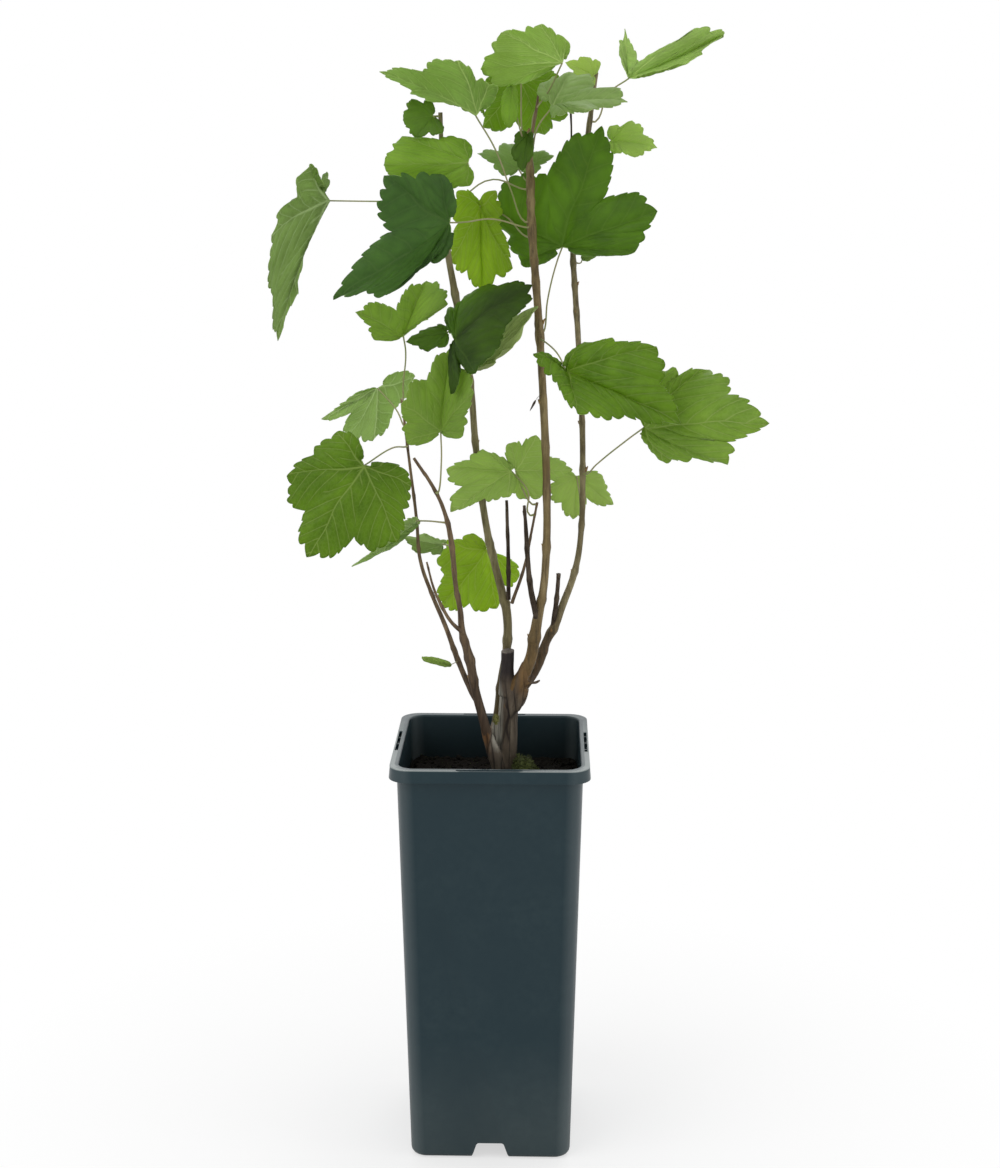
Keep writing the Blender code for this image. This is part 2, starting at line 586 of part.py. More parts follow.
def petiole_points(leaf):
    """From just off the stem's side, by the bends, to just short of the blade."""
    junction = Vector(leaf["junction"])
    bends = [Vector(bend) for bend in leaf.get("bends", [])]
    centre, radius = stem_at(leaf["stem"], leaf["height"])
    outward = ([*bends, junction][0] - centre) * Vector((1, 1, 0))
    outward.normalize()
    foot = centre + outward * (radius + GAP)
    knee = centre + outward * (radius + GAP + 2)
    path = [foot, knee, *bends]
    end = junction.lerp(path[-1], PETIOLE_SHORT / (path[-1] - junction).length)
    return [(*point, PETIOLE) for point in [*path, end]]


def leaf_mesh(name, leaf):
    """One closed mesh: the side that faces the petiole opens at the junction and runs into it."""
    junction = Vector(leaf["junction"]) * MM
    points = petiole_points(leaf)
    foot, end = (Vector(point[:3]) * MM for point in (points[0], points[-1]))
    builder = bmesh.new()
    builder.from_mesh(blade_mesh(name, leaf))
    middles = sorted(builder.verts, key=lambda vert: (vert.co - junction).length)[:2]
    facing = min(middles, key=lambda vert: (vert.co - end).length)
    bmesh.ops.delete(builder, geom=[facing], context="VERTS")
    builder.from_mesh(tube_mesh(name, points, 0, 2, 6, capped=False))
    rims = [edge for edge in builder.edges if edge.is_boundary]
    foot_rim = [edge for edge in rims if (edge.verts[0].co - foot).length < 2 * PETIOLE * MM]
    bmesh.ops.contextual_create(builder, geom=foot_rim)
    bmesh.ops.bridge_loops(builder, edges=[edge for edge in rims if edge not in foot_rim])
    return finish_mesh(name, builder)


clear_scene()
PLANT = new_collection("potted_currant_bush")
CUTTERS = new_collection("cutters")
SPACES = {}
make_stems()
make_pot()
make_soil()
make_moss()
for leaf_name, leaf_row in LEAVES.items():
    add_piece(leaf_name, leaf_mesh(leaf_name, leaf_row), leaf_row["tone"])
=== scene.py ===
# %% [markdown]
# # A potted currant bush
# This lesson dresses the solids of a young currant bush in a deep nursery pot. The solids already stand
# at their real size, in metres, with the pot's base on the floor at the origin. Each cell below makes one
# thing: first the pot, then the soil, the stems and the leaves, and last the room, the lamps and the
# camera.

# %% Load the solids
import random
from math import cos, pi, radians, sin

import bmesh
import bpy
import numpy as np
from mathutils import Matrix, Vector, noise


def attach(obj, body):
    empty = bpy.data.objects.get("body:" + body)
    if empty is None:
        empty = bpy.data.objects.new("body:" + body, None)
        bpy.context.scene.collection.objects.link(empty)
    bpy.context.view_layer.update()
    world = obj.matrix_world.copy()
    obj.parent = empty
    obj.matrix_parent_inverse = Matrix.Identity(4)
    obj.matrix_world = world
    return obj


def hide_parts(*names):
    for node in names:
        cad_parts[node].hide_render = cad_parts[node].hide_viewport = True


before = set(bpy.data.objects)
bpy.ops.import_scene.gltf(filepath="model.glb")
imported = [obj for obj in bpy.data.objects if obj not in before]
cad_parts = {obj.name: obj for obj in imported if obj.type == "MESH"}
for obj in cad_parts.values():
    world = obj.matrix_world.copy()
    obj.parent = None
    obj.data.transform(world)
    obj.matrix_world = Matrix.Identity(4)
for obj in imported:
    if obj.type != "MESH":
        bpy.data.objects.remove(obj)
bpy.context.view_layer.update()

MM = 0.001

# %% [markdown]
# Every operator acts on what is selected, and loading leaves the solids selected. So small helpers start
# each piece with nothing selected, take up one piece, and select its faces, edges or points by a test on
# their middle. Every length in this lesson is in millimetres until MM turns it into metres.


# %% Helpers for modelling by hand
def start_clean():
    if bpy.context.mode != "OBJECT":
        bpy.ops.object.mode_set(mode="OBJECT")
    bpy.ops.object.select_all(action="DESELECT")


def take(*pieces):
    """Selects just these pieces and makes the first one active."""
    start_clean()
    for piece in pieces:
        piece.select_set(True)
    bpy.context.view_layer.objects.active = pieces[0]


def pick(piece, kind, test=lambda middle, part: True):
    """Goes to edit mode with just the faces, edges or points selected whose middle passes the test."""
    start_clean()
    bpy.context.view_layer.objects.active = piece
    bpy.ops.object.mode_set(mode="EDIT")
    bpy.ops.mesh.select_mode(type=kind)
    mesh = bmesh.from_edit_mesh(piece.data)
    found = 0
    for part in {"VERT": mesh.verts, "EDGE": mesh.edges, "FACE": mesh.faces}[kind]:
        corners = [part.co] if kind == "VERT" else [vert.co for vert in part.verts]
        middle = sum(corners, Vector()) / len(corners) / MM
        part.select_set(bool(test(middle, part)))
        found += part.select
    mesh.select_flush_mode()
    bmesh.update_edit_mesh(piece.data)
    return found


def done():
    """Leaves edit mode."""
    bpy.ops.object.mode_set(mode="OBJECT")


def apply_modifiers(piece):
    take(piece)
    for modifier in list(piece.modifiers):
        bpy.ops.object.modifier_apply(modifier=modifier.name)


def settle(piece):
    """Moves an object's place, turn and size into its mesh, as the solids have it."""
    take(piece)
    bpy.ops.object.transform_apply(location=True, rotation=True, scale=True)


def join(pieces):
    take(*pieces)
    bpy.ops.object.join()
    return pieces[0]


def add_box(centre, size):
    """A block with its centre and its three sides in millimetres."""
    start_clean()
    bpy.ops.mesh.primitive_cube_add(size=1, location=[part * MM for part in centre])
    box = bpy.context.object
    box.scale = [side * MM for side in size]
    settle(box)
    return box


def bevel(width, segments):
    """Rounds the selected edges and leaves edit mode."""
    bpy.ops.mesh.bevel(offset=width * MM, segments=segments, affect="EDGES")
    done()


def draw_in(share, along_y=None):
    """Scales what is selected towards the middle line, by one share or by one each along x and y."""
    value = (share, share if along_y is None else along_y, 1)
    bpy.ops.transform.resize(value=value, center_override=(0, 0, 0))


def smooth(piece, degrees):
    """Shades a piece smooth, but leaves edges sharper than this angle crisp."""
    take(piece)
    bpy.ops.object.shade_smooth_by_angle(angle=radians(degrees))


def paint(piece, *materials):
    piece.data.materials.clear()
    for material in materials:
        piece.data.materials.append(material)


def cut(piece, cutter):
    """Takes a cutter's shape out of a piece, and removes the cutter."""
    boolean = piece.modifiers.new("cut", "BOOLEAN")
    boolean.operation = "DIFFERENCE"
    boolean.object = cutter
    apply_modifiers(piece)
    bpy.data.objects.remove(cutter)


print("helpers ready")

# %% [markdown]
# A material is mostly sums: one mask times another, or one minus it. Written as nodes and links, even a
# short sum fills a page. So a wire stands for a node's output, and each sign between wires adds the Math
# node that does it.


# %% Colours and wires
def rgb(red, green, blue):
    """A colour given on the usual 0 to 255 scale, as the linear numbers that shaders take."""
    parts = [value / 255 for value in (red, green, blue)]
    return (*[p / 12.92 if p <= 0.04045 else ((p + 0.055) / 1.055) ** 2.4 for p in parts], 1)


def tinted(colour, share, lift=0.0):
    """A colour with its three parts multiplied by a share, lifted, and held at 1."""
    return (*[min(part * share + lift, 1) for part in colour[:3]], 1)


class Wire:
    """A node's output in its tree. Signs between wires and numbers add Math nodes, and give their outputs."""

    def __init__(self, tree, socket):
        self.tree, self.socket = tree, socket

    def __add__(self, other):
        return maths("ADD", self, other)

    def __sub__(self, other):
        return maths("SUBTRACT", self, other)

    def __rsub__(self, other):
        return maths("SUBTRACT", other, self)

    def __mul__(self, other):
        return maths("MULTIPLY", self, other)

    def __truediv__(self, other):
        return maths("DIVIDE", self, other)

    def __pow__(self, other):
        return maths("POWER", self, other)

    def __gt__(self, other):
        return maths("GREATER_THAN", self, other)

    def __abs__(self):
        return maths("ABSOLUTE", self)


class Outputs:
    """All outputs of a node, each a wire that is asked for by its number or name."""

    def __init__(self, tree, sockets):
        self.tree, self.sockets = tree, sockets

    def __getitem__(self, key):
        return Wire(self.tree, self.sockets[key])


print("wires ready")

# %% [markdown]
# The next helpers make nodes. A fade is the most used: it turns a place or a noise into a mask. A zone is
# a fade between two heights or distances.


# %% Nodes, groups and materials
def plug(value, socket):
    """Links a wire to a socket, or sets the socket to a number or a colour."""
    if isinstance(value, Wire):
        value.tree.links.new(value.socket, socket)
    else:
        socket.default_value = value


def feed(node, **sockets):
    """Plugs values into a node's sockets: named, with _ for a space, or numbered as i0, i1 and so on."""
    for key, value in sockets.items():
        plug(value, node.inputs[int(key[1:]) if key[1:].isdigit() else key.replace("_", " ")])


def add_node(tree, kind, settings=None, **sockets):
    made = tree.nodes.new(kind)
    for key, value in (settings or {}).items():
        setattr(made, key, value)
    feed(made, **sockets)
    return Outputs(tree, made.outputs)


def tree_of(values):
    return next(value.tree for value in values if isinstance(value, Wire))


def maths(operation, *values, clamp=False):
    settings = {"operation": operation, "use_clamp": clamp}
    numbered = {f"i{number}": value for number, value in enumerate(values)}
    return add_node(tree_of(values), "ShaderNodeMath", settings, **numbered)[0]


def fade(value, low, high, from_value=0.0, to_value=1.0):
    """Turns a value from low to high into one that runs from from_value to to_value, and no further."""
    ends = {"i1": low, "i2": high, "i3": from_value, "i4": to_value}
    return add_node(value.tree, "ShaderNodeMapRange", i0=value, **ends)[0]


def zone(place, low, high, from_value=0.0, to_value=1.0):
    """A fade between two places, which are given in millimetres."""
    return fade(place, low * MM, high * MM, from_value, to_value)


def blend(share, first, second):
    return add_node(share.tree, "ShaderNodeMix", {"data_type": "RGBA"}, i0=share, i6=first, i7=second)[2]


def new_group(name, inputs, outputs):
    """An empty node group with named sockets, the wires that come in, and the sockets that lead out."""
    group = bpy.data.node_groups.new(name, "ShaderNodeTree")
    for socket, kind in inputs:
        group.interface.new_socket(socket, in_out="INPUT", socket_type="NodeSocket" + kind)
    for socket in outputs:
        group.interface.new_socket(socket, in_out="OUTPUT", socket_type="NodeSocketFloat")
    given = Outputs(group, group.nodes.new("NodeGroupInput").outputs)
    return group, given, group.nodes.new("NodeGroupOutput").inputs


def new_material(name):
    material = bpy.data.materials.new(name)
    material.use_nodes = True
    tree = material.node_tree
    return material, tree, tree.nodes["Principled BSDF"]


def place_group(group, **sockets):
    return add_node(tree_of(sockets.values()), "ShaderNodeGroup", {"node_tree": group}, **sockets)


def object_place(tree):
    return add_node(tree, "ShaderNodeTexCoord")["Object"]


def axes(place):
    """The x, y and z of a place, as three wires."""
    split = add_node(place.tree, "ShaderNodeSeparateXYZ", Vector=place)
    return split[0], split[1], split[2]


def add_bump(shader, height, strength, distance):
    settings = {"Height": height, "Strength": strength, "Distance": distance * MM}
    bump = add_node(height.tree, "ShaderNodeBump", **settings)[0]
    feed(shader, Normal=bump)
    return bump


print("material helpers ready")

# %% [markdown]
# ## Finishes that several materials share
# Nature never paints one flat colour. Three small shader groups give the variation: soft patches, the
# grain of bark, and the net of leaf veins. Each puts out masks, to which every material gives its own
# colours, and the last two put out a height as well.


# %% Patches, bark grain and leaf veins
TO_EDGE = {"feature": "DISTANCE_TO_EDGE"}
VEIN_SPACING = 0.15  # between side veins, as a share of the pattern leaf's length
VEIN_SLOPE, VEIN_SHIFT = 1.05, 0.3  # how steeply they leave a main vein, and how far the right half lags
VEIN_APART = 0.69  # how much closer two side veins lie than their starts, as they run at a slant
SHOULDER_ANGLE, BASE_ANGLE = 50, 105  # degrees between the middle lobe and the others, on the pattern leaf
UV_SIZE, UV_MIDDLE = 0.4, 0.5  # the pattern leaf's length and its junction on the UV map


def patches_group():
    inputs = [("Vector", "Vector"), ("Scale", "Float")]
    group, given, out = new_group("soft_patches", inputs, ("Broad", "Fine"))
    broad = add_node(group, "ShaderNodeTexNoise", Vector=given[0], Scale=given[1], Detail=3.0, Roughness=0.55)
    finer = given[1] * 9.0
    fine = add_node(group, "ShaderNodeTexNoise", Vector=given[0], Scale=finer, Detail=4.0, Roughness=0.6)
    plug(fade(broad[0], 0.36, 0.64), out[0])
    plug(fade(fine[0], 0.3, 0.7), out[1])
    return group


def bark_group():
    """Streaks, cracks and pores on wood that grows upwards, from Object coordinates."""
    group, given, out = new_group(
        "bark_grain",
        [("Vector", "Vector"), ("Scale", "Float"), ("Stretch", "Float")],
        ("Streaks", "Cracks", "Pores", "Height"),
    )
    x, y, z = axes(given[0])
    long_way = add_node(group, "ShaderNodeCombineXYZ", X=x, Y=y, Z=z / given[2])
    lines = {"Vector": long_way[0], "Scale": given[1], "Detail": 5.0, "Roughness": 0.65}
    streak = add_node(group, "ShaderNodeTexNoise", **lines)
    wide = given[1] * 0.9
    crack = add_node(group, "ShaderNodeTexVoronoi", TO_EDGE, Vector=long_way[0], Scale=wide)
    small = given[1] * 1.6
    pore = add_node(group, "ShaderNodeTexVoronoi", Vector=given[0], Scale=small)
    streaks = fade(streak[0], 0.35, 0.68)
    cracks = fade(crack[0], 0.0, 0.09, 1.0, 0.0)
    pores = fade(pore[0], 0.1, 0.22, 1.0, 0.0)
    height = streaks + pores * 0.5 - cracks
    for number, value in enumerate((streaks, cracks, pores, height)):
        plug(value, out[number])
    return group


def leaf_veins_group():
    """Main veins, side veins and the fine net between them, drawn on the flat pattern leaf."""
    spacing, shoulder, base = VEIN_SPACING, radians(SHOULDER_ANGLE), radians(BASE_ANGLE)
    outputs = ("Veins", "Net", "Height", "Along", "ValleyShade")
    group, given, out = new_group("leaf_veins", [("UV", "Vector")], outputs)
    x, y, _ = axes(given[0])
    x = (x - UV_MIDDLE) / UV_SIZE
    y = (y - UV_MIDDLE) / UV_SIZE
    angle = maths("ARCTAN2", abs(x), y)
    reach = maths("SQRT", x * x + y * y)
    second = (angle > shoulder / 2) * shoulder
    third = (angle > (shoulder + base) / 2) * (base - shoulder)
    away = angle - (second + third)
    along = reach * maths("COSINE", away)
    signed = reach * maths("SINE", away)
    off = abs(signed)
    width = maths("MAXIMUM", 0.016 - along * 0.011, 0.0052)
    main = maths("SUBTRACT", 1.0, off / width, clamp=True)
    start = along - off * VEIN_SLOPE
    start = start + (signed > 0.0) * (spacing / 2)
    start = start + (x > 0.0) * (spacing * VEIN_SHIFT)
    share = maths("PINGPONG", start / spacing, 0.5)
    apart = share * (spacing * VEIN_APART)
    thin = maths("MAXIMUM", 0.0095 - off * 0.017, 0.004)
    side = maths("SUBTRACT", 1.0, apart / thin, clamp=True)
    side = side * fade(start, 0.02, 0.05)
    veins = maths("MAXIMUM", main, side * 0.75)
    place = add_node(group, "ShaderNodeCombineXYZ", X=x, Y=y)
    cells = add_node(group, "ShaderNodeTexVoronoi", TO_EDGE, Vector=place[0], Scale=30.0, Randomness=0.9)
    net = fade(cells[0], 0.0, 0.16, 1.0, 0.0)
    raised = veins + net * 0.12
    # painted shade: a soft dark band along both sides of each vein, where the quilted blade dips
    beside = fade(apart, 0.0, 0.036, 0.7, 0.0) * fade(start, 0.02, 0.06)
    valley_shade = maths("MAXIMUM", fade(off, 0.0, 0.05, 1.0, 0.0), beside)
    for number, value in enumerate((veins, net, raised, reach, valley_shade)):
        plug(value, out[number])
    return group


PATCHES, BARK, VEINS = patches_group(), bark_group(), leaf_veins_group()


def patchy(name, scale, colours, share, smoothest, roughest):
    """Two colours in broad patches, a share of a third in fine ones, and a roughness that varies."""
    material, tree, shader = new_material(name)
    place = object_place(tree)
    soft = place_group(PATCHES, Vector=place, Scale=scale)
    first, second, third = [rgb(*colour) for colour in colours]
    colour = blend(soft["Fine"] * share, blend(soft["Broad"], first, second), third)
    rough = fade(soft["Fine"], 0.0, 1.0, smoothest, roughest)
    feed(shader, Base_Color=colour, Roughness=rough)
    return material, shader, place, soft, colour


print("shader groups:", [group.name for group in bpy.data.node_groups])

# %% [markdown]
# ## The pot
# The real pot is moulded in one shot from recycled plastic: thin walls that taper so that pots nest, a
# turned-down rim for stiffness, and a cross of drain channels under the base. It could be drawn as one
# profile and spun, but it is square. So a cube is given rounded upright edges and drawn in at the foot,
# as the mould maker's block is.

# %% A tapered block with rounded upright edges
POT_HEIGHT, RIM_HALF, TOP_HALF, FOOT_HALF, CORNER = 234, 55, 51, 45.3, 10
WALL, FLOOR_TOP, FOOT_ROUND = 1.5, 12, 3.6


def half_at(height):
    return FOOT_HALF + (TOP_HALF - FOOT_HALF) * height / POT_HEIGHT


def tapered_block(name, foot, top, half_foot, half_top, corner, segments=8):
    block = add_box((0, 0, (foot + top) / 2), (2 * half_top, 2 * half_top, top - foot))
    block.name = block.data.name = name
    pick(block, "EDGE", lambda middle, edge: abs(edge.verts[0].co.z - edge.verts[1].co.z) > MM)
    bevel(corner, segments)
    pick(block, "VERT", lambda middle, vert: middle.z < (foot + top) / 2)
    draw_in(half_foot / half_top)
    done()
    return block


pot = tapered_block("nursery_pot", 0, POT_HEIGHT, FOOT_HALF, TOP_HALF, CORNER)
pick(pot, "EDGE", lambda middle, edge: middle.z < 0.1)
bevel(FOOT_ROUND, 4)
print("block", [round(side / MM, 1) for side in pot.dimensions], "mm")

# %% [markdown]
# ## The rim
# A plastic pot's rim is a narrow ledge with a skirt that hangs from it, and its underside is open. A
# solid lip would look heavy from below. So a thin belt of the wall is extruded outwards twice, and the
# outer strip's underside is then extruded down, which leaves the groove between skirt and wall.

# %% Ledge and skirt
LEDGE, SKIRT, SKIRT_DROP, FLARE = 1.5, 1.4, 7, 0.5  # the skirt leans out by its flare
SKIRT_OUT = RIM_HALF - FLARE
SKIRT_IN = SKIRT_OUT - SKIRT

pick(pot, "FACE")
bpy.ops.mesh.bisect(plane_co=(0, 0, (POT_HEIGHT - LEDGE) * MM), plane_no=(0, 0, 1))
for reach in (SKIRT_IN, SKIRT_OUT):
    ledge_now = max(abs(vert.co.x) for vert in bmesh.from_edit_mesh(pot.data).verts) / MM
    pick(pot, "FACE", lambda middle, face: middle.z > POT_HEIGHT - LEDGE and abs(face.normal.z) < 0.5)
    bpy.ops.mesh.extrude_region_move()
    draw_in(reach / ledge_now)
    done()
    bpy.ops.object.mode_set(mode="EDIT")


def reach_of(place, half, corner):
    """How far out a point lies, measured as the rounded square does."""
    inner = half - corner
    return inner + Vector((max(abs(place.x) / MM - inner, 0), max(abs(place.y) / MM - inner, 0))).length


def under_outer_strip(middle, face):
    low = abs(middle.z - (POT_HEIGHT - LEDGE)) < 0.05 and face.normal.z < -0.9
    return low and all(reach_of(vert.co, SKIRT_IN, CORNER + 0.4) > SKIRT_IN - 0.5 for vert in face.verts)


found = pick(pot, "FACE", under_outer_strip)
bpy.ops.mesh.extrude_region_move(TRANSFORM_OT_translate={"value": (0, 0, -(SKIRT_DROP - LEDGE) * MM)})
draw_in(RIM_HALF / SKIRT_OUT)
done()
print("faces drawn down into the skirt:", found)

# %% [markdown]
# ## Hollow, channels, holes and slots
# The inside, the two crossing drain channels, the drain holes and the four slots in the ledge are all
# places where the mould holds plastic back. Each is cut with a Boolean by a simple block or cylinder,
# which keeps every wall's thickness exact. A small bevel then takes the sharpness off all edges, as on
# any moulded part.

# %% Cut the openings and soften the edges
SIDES = ((1, 0), (-1, 0), (0, 1), (0, -1))
CHANNEL = dict(length=130, foot=-1, top=9.5, width=22, top_width=15, round=1.2)
HOLE_RADIUS, HOLE_DEPTH, HOLE_OUT = 4, 10, 26  # each lies this far out from the middle
SLOT, SLOT_OUT = (1.7, 36, 6), 52.8  # its width, length and height, half of which stands above the rim
LIP_ROUND, SOFT_EDGE = 1.2, 0.35


def by_side(x, through, along, tall):
    """The sizes of a block on one of the four sides, of which the left and the right have an x."""
    return (through, along, tall) if x else (along, through, tall)


def cut_channel(turn):
    foot, top = CHANNEL["foot"], CHANNEL["top"]
    channel = add_box((0, 0, (foot + top) / 2), (CHANNEL["length"], CHANNEL["width"], top - foot))
    pick(channel, "VERT", lambda middle, vert: middle.z > foot + 1)
    draw_in(1, CHANNEL["top_width"] / CHANNEL["width"])
    pick(channel, "EDGE", lambda middle, edge: middle.z > top - 0.5 and abs(middle.y) > 5)
    bevel(CHANNEL["round"], 3)
    channel.rotation_euler.z = radians(turn)
    settle(channel)
    cut(pot, channel)


def at_the_lip(middle, edge):
    """Whether an edge is the inner one of the pot's top."""
    half, corner = half_at(POT_HEIGHT) - WALL, CORNER - WALL
    on_top = middle.z > POT_HEIGHT - 0.05
    return on_top and all(abs(reach_of(vert.co, half, corner) - half) < 0.1 for vert in edge.verts)


over = POT_HEIGHT + 4
inner_foot, inner_top = half_at(FLOOR_TOP) - WALL, half_at(over) - WALL
cut(pot, tapered_block("inside", FLOOR_TOP, over, inner_foot, inner_top, CORNER - WALL))
for turn in (0, 90):
    cut_channel(turn)
for x, y in SIDES:
    start_clean()
    place = (HOLE_OUT * x * MM, HOLE_OUT * y * MM, FLOOR_TOP * MM)
    radius, depth = HOLE_RADIUS * MM, HOLE_DEPTH * MM
    bpy.ops.mesh.primitive_cylinder_add(vertices=24, radius=radius, depth=depth, location=place)
    hole = bpy.context.object
    settle(hole)
    cut(pot, hole)
pick(pot, "EDGE", at_the_lip)
bevel(LIP_ROUND, 4)
for x, y in SIDES:
    cut(pot, add_box((SLOT_OUT * x, SLOT_OUT * y, POT_HEIGHT), by_side(x, *SLOT)))
soft = pot.modifiers.new("soft_edges", "BEVEL")
soft.width, soft.segments, soft.limit_method, soft.angle_limit = SOFT_EDGE * MM, 2, "ANGLE", radians(40)
apply_modifiers(pot)
print("faces after the cuts:", len(pot.data.polygons))

# %% [markdown]
# A moulder also puts small upright ribs into the groove behind the skirt, because they keep the rim from
# folding when the pot is lifted by it. Through the slots one looks at these dark ribs. They are plain
# thin boxes, copied round the four sides and joined to the pot.

# %% Ribs behind the skirt
RIB, RIB_OUT, RIB_MIDDLE = (3.2, 1.1, 5.2), 52.3, 230
RIB_PLACES = range(-34, 39, 12)

ribs = [
    add_box((RIB_OUT * x + along * y, RIB_OUT * y + along * x, RIB_MIDDLE), by_side(x, *RIB))
    for x, y in SIDES for along in RIB_PLACES
]
pot = join([pot, *ribs])
print("ribs:", len(ribs))

# %% Smooth the pot and hand it over
smooth(pot, 35)
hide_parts("pot")
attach(pot, "root")
print("pot faces:", len(pot.data.polygons), "size", [round(side / MM, 1) for side in pot.dimensions])

# %% [markdown]
# ## Pot plastic
# The pot is a dark slate colour, satin, with a faint orange-peel skin from the mould, and a film of dried
# water and dust that is hardly lighter than the plastic. Colour alone would look like a flat card, so the
# roughness varies too. Inside, painted shade darkens the wall towards the soil. Outside, a painted
# reflection of the floor lightens the lowest part, painted highlights make the corners a little paler,
# and a painted reflection makes the top of the rim pale grey towards the front. Which side a point lies
# on follows from how far out it is on the rounded square.


# %% Slate plastic
def pot_plastic():
    material, tree, shader = new_material("slate_plastic")
    place = object_place(tree)
    soft = place_group(PATCHES, Vector=place, Scale=22.0)
    film = soft["Broad"] * soft["Fine"] * 0.5
    colour = blend(film, rgb(29, 49, 56), rgb(42, 60, 65))
    x, y, z = axes(place)
    half = z * ((TOP_HALF - FOOT_HALF) / POT_HEIGHT) + FOOT_HALF * MM
    straight = half * (1 - CORNER / TOP_HALF)
    beyond = [maths("MAXIMUM", abs(side) - straight, 0.0) for side in (x, y)]
    squares = beyond[0] ** 2.0 + beyond[1] ** 2.0
    reach = maths("SQRT", squares) + straight
    within = zone(reach - half, -1.2, -0.6, 1.0, 0.0)
    # painted shade: inside the pot the wall darkens towards the soil, as shade deepens there
    deep = within * zone(z, 208, 234, 1.0, 0.35)
    colour = blend(deep, colour, rgb(16, 25, 27))
    # painted reflection of the floor: the wall turns paler towards the foot, in patches
    painted_floor_reflection = zone(z, 0, 75, 0.1, 0.0) * fade(soft["Broad"], 0.0, 1.0, 0.7, 1.0)
    colour = blend(painted_floor_reflection, colour, rgb(150, 154, 146))
    # painted highlight: the rounded corners are made a little paler
    corner = zone(maths("MINIMUM", beyond[0], beyond[1]), 0.6, 5, 0.0, 0.07)
    colour = blend(corner, colour, rgb(168, 176, 176))
    # painted reflection: the top of the rim is pale grey towards the front, fading out over the front slot
    # and towards its inner edge
    front = zone(y, 0, 50, 0.6, 0.0)
    painted_rim_reflection = zone(z, 233.5, 233.8) * (1.0 - within)
    near = zone(y, -50, -47, 1.0, 0.0)
    beside_the_slot = zone(abs(x), 15.5, 17.5, 0.25, 1.0)
    outer = zone(reach - half, 2.0, 3.0, 0.25, 1.0) * beside_the_slot
    spared = near * (1.0 - outer)
    painted_rim_reflection = painted_rim_reflection * (1.0 - spared)
    lip = zone(reach - half, 0.5, 1.1, 0.2, 1.0)
    painted_rim_reflection = painted_rim_reflection * lip
    colour = blend(painted_rim_reflection * front, colour, rgb(158, 165, 164))
    rough = fade(soft["Broad"], 0.0, 1.0, 0.3, 0.38)
    feed(shader, Base_Color=colour, Roughness=rough, Specular_IOR_Level=0.22)
    grain = add_node(tree, "ShaderNodeTexNoise", Vector=place, Scale=900.0, Detail=2.0)
    add_bump(shader, grain[0], 0.15, 0.15)
    return material


paint(pot, pot_plastic())
print("pot material:", pot.data.materials[0].name)

# %% [markdown]
# ## The root ball
# The soil fills the pot to a finger's width under the rim. Only its top is ever seen, but from above it
# is seen well. A fine grid is rounded at its corners to fit the pot, roughened in two sizes, and drawn
# down to the floor as one closed body. Loose crumbs of peat are then strewn over it.

# %% Soil
SOIL_TOP, GAP = 209, 0.3
GRID, CRUMBS, CRUMB_SIZES = 110, 620, (0.5, 0.6, 0.7, 0.9, 1.2, 1.7)
TRUNK_X = 7  # the soil is heaped up a little round the trunk's foot, and no crumb lies there
soil_half = half_at(SOIL_TOP) - WALL - GAP
soil_corner = CORNER - WALL


def wobble(place, size, strength):
    return noise.noise(Vector(place) / size) * strength


def soil_height(x, y):
    bulk = wobble((x, y, 0), 12, 1.6) + wobble((x, y, 5), 4.5, 1.1) + wobble((x, y, 9), 1.7, 0.7)
    mound = 2.0 * np.exp(-((x - TRUNK_X) ** 2 + y**2) / 260)
    return SOIL_TOP - 0.6 + bulk + mound


start_clean()
top_place = (0, 0, SOIL_TOP * MM)
bpy.ops.mesh.primitive_grid_add(
    x_subdivisions=GRID, y_subdivisions=GRID, size=2 * soil_half * MM, location=top_place
)
soil = bpy.context.object
soil.name = soil.data.name = "potting_soil"
settle(soil)
for vert in soil.data.vertices:
    x, y = vert.co.x / MM, vert.co.y / MM
    inner = soil_half - soil_corner
    corner = Vector((max(abs(x) - inner, 0), max(abs(y) - inner, 0)))
    if corner.x and corner.y:
        corner *= max(corner.x, corner.y) / corner.length
        x = (inner + corner.x) * (1 if x > 0 else -1)
        y = (inner + corner.y) * (1 if y > 0 else -1)
    vert.co = Vector((x, y, soil_height(x, y))) * MM
pick(soil, "EDGE", lambda middle, edge: edge.is_boundary)
foot = FLOOR_TOP + GAP
bpy.ops.mesh.extrude_region_move()
share = (half_at(foot) - WALL - GAP) / soil_half
bpy.ops.transform.resize(value=(share, share, 0), center_override=(0, 0, foot * MM))
bpy.ops.mesh.edge_face_add()
bpy.ops.mesh.select_all(action="SELECT")
bpy.ops.mesh.normals_make_consistent(inside=False)
done()
print("soil body", [round(side / MM, 1) for side in soil.dimensions])

# %% [markdown]
# Peat isn't smooth, so the surface needs loose crumbs as well. One small lump is made from a ball, and
# copies of it are turned and stretched at random and set into the surface. Peat that is kept moist is
# nearly black.


# %% Crumbs of peat
def strew(model, matrices):
    """One joined piece of copies of a small model, each copy with its own mesh."""
    made = []
    for matrix in matrices:
        twin = model.copy()
        twin.data = model.data.copy()
        twin.data.transform(matrix)
        bpy.context.scene.collection.objects.link(twin)
        made.append(twin)
    bpy.data.objects.remove(model)
    return join(made)


def placed(place, turn, size):
    """A matrix from a place, three turns in radians and three sizes."""
    turned = Matrix.Rotation(turn[2], 4, "Z") @ Matrix.Rotation(turn[1], 4, "Y")
    turned = turned @ Matrix.Rotation(turn[0], 4, "X")
    return Matrix.Translation(Vector(place) * MM) @ turned @ Matrix.Diagonal((*(Vector(size) * MM), 1))


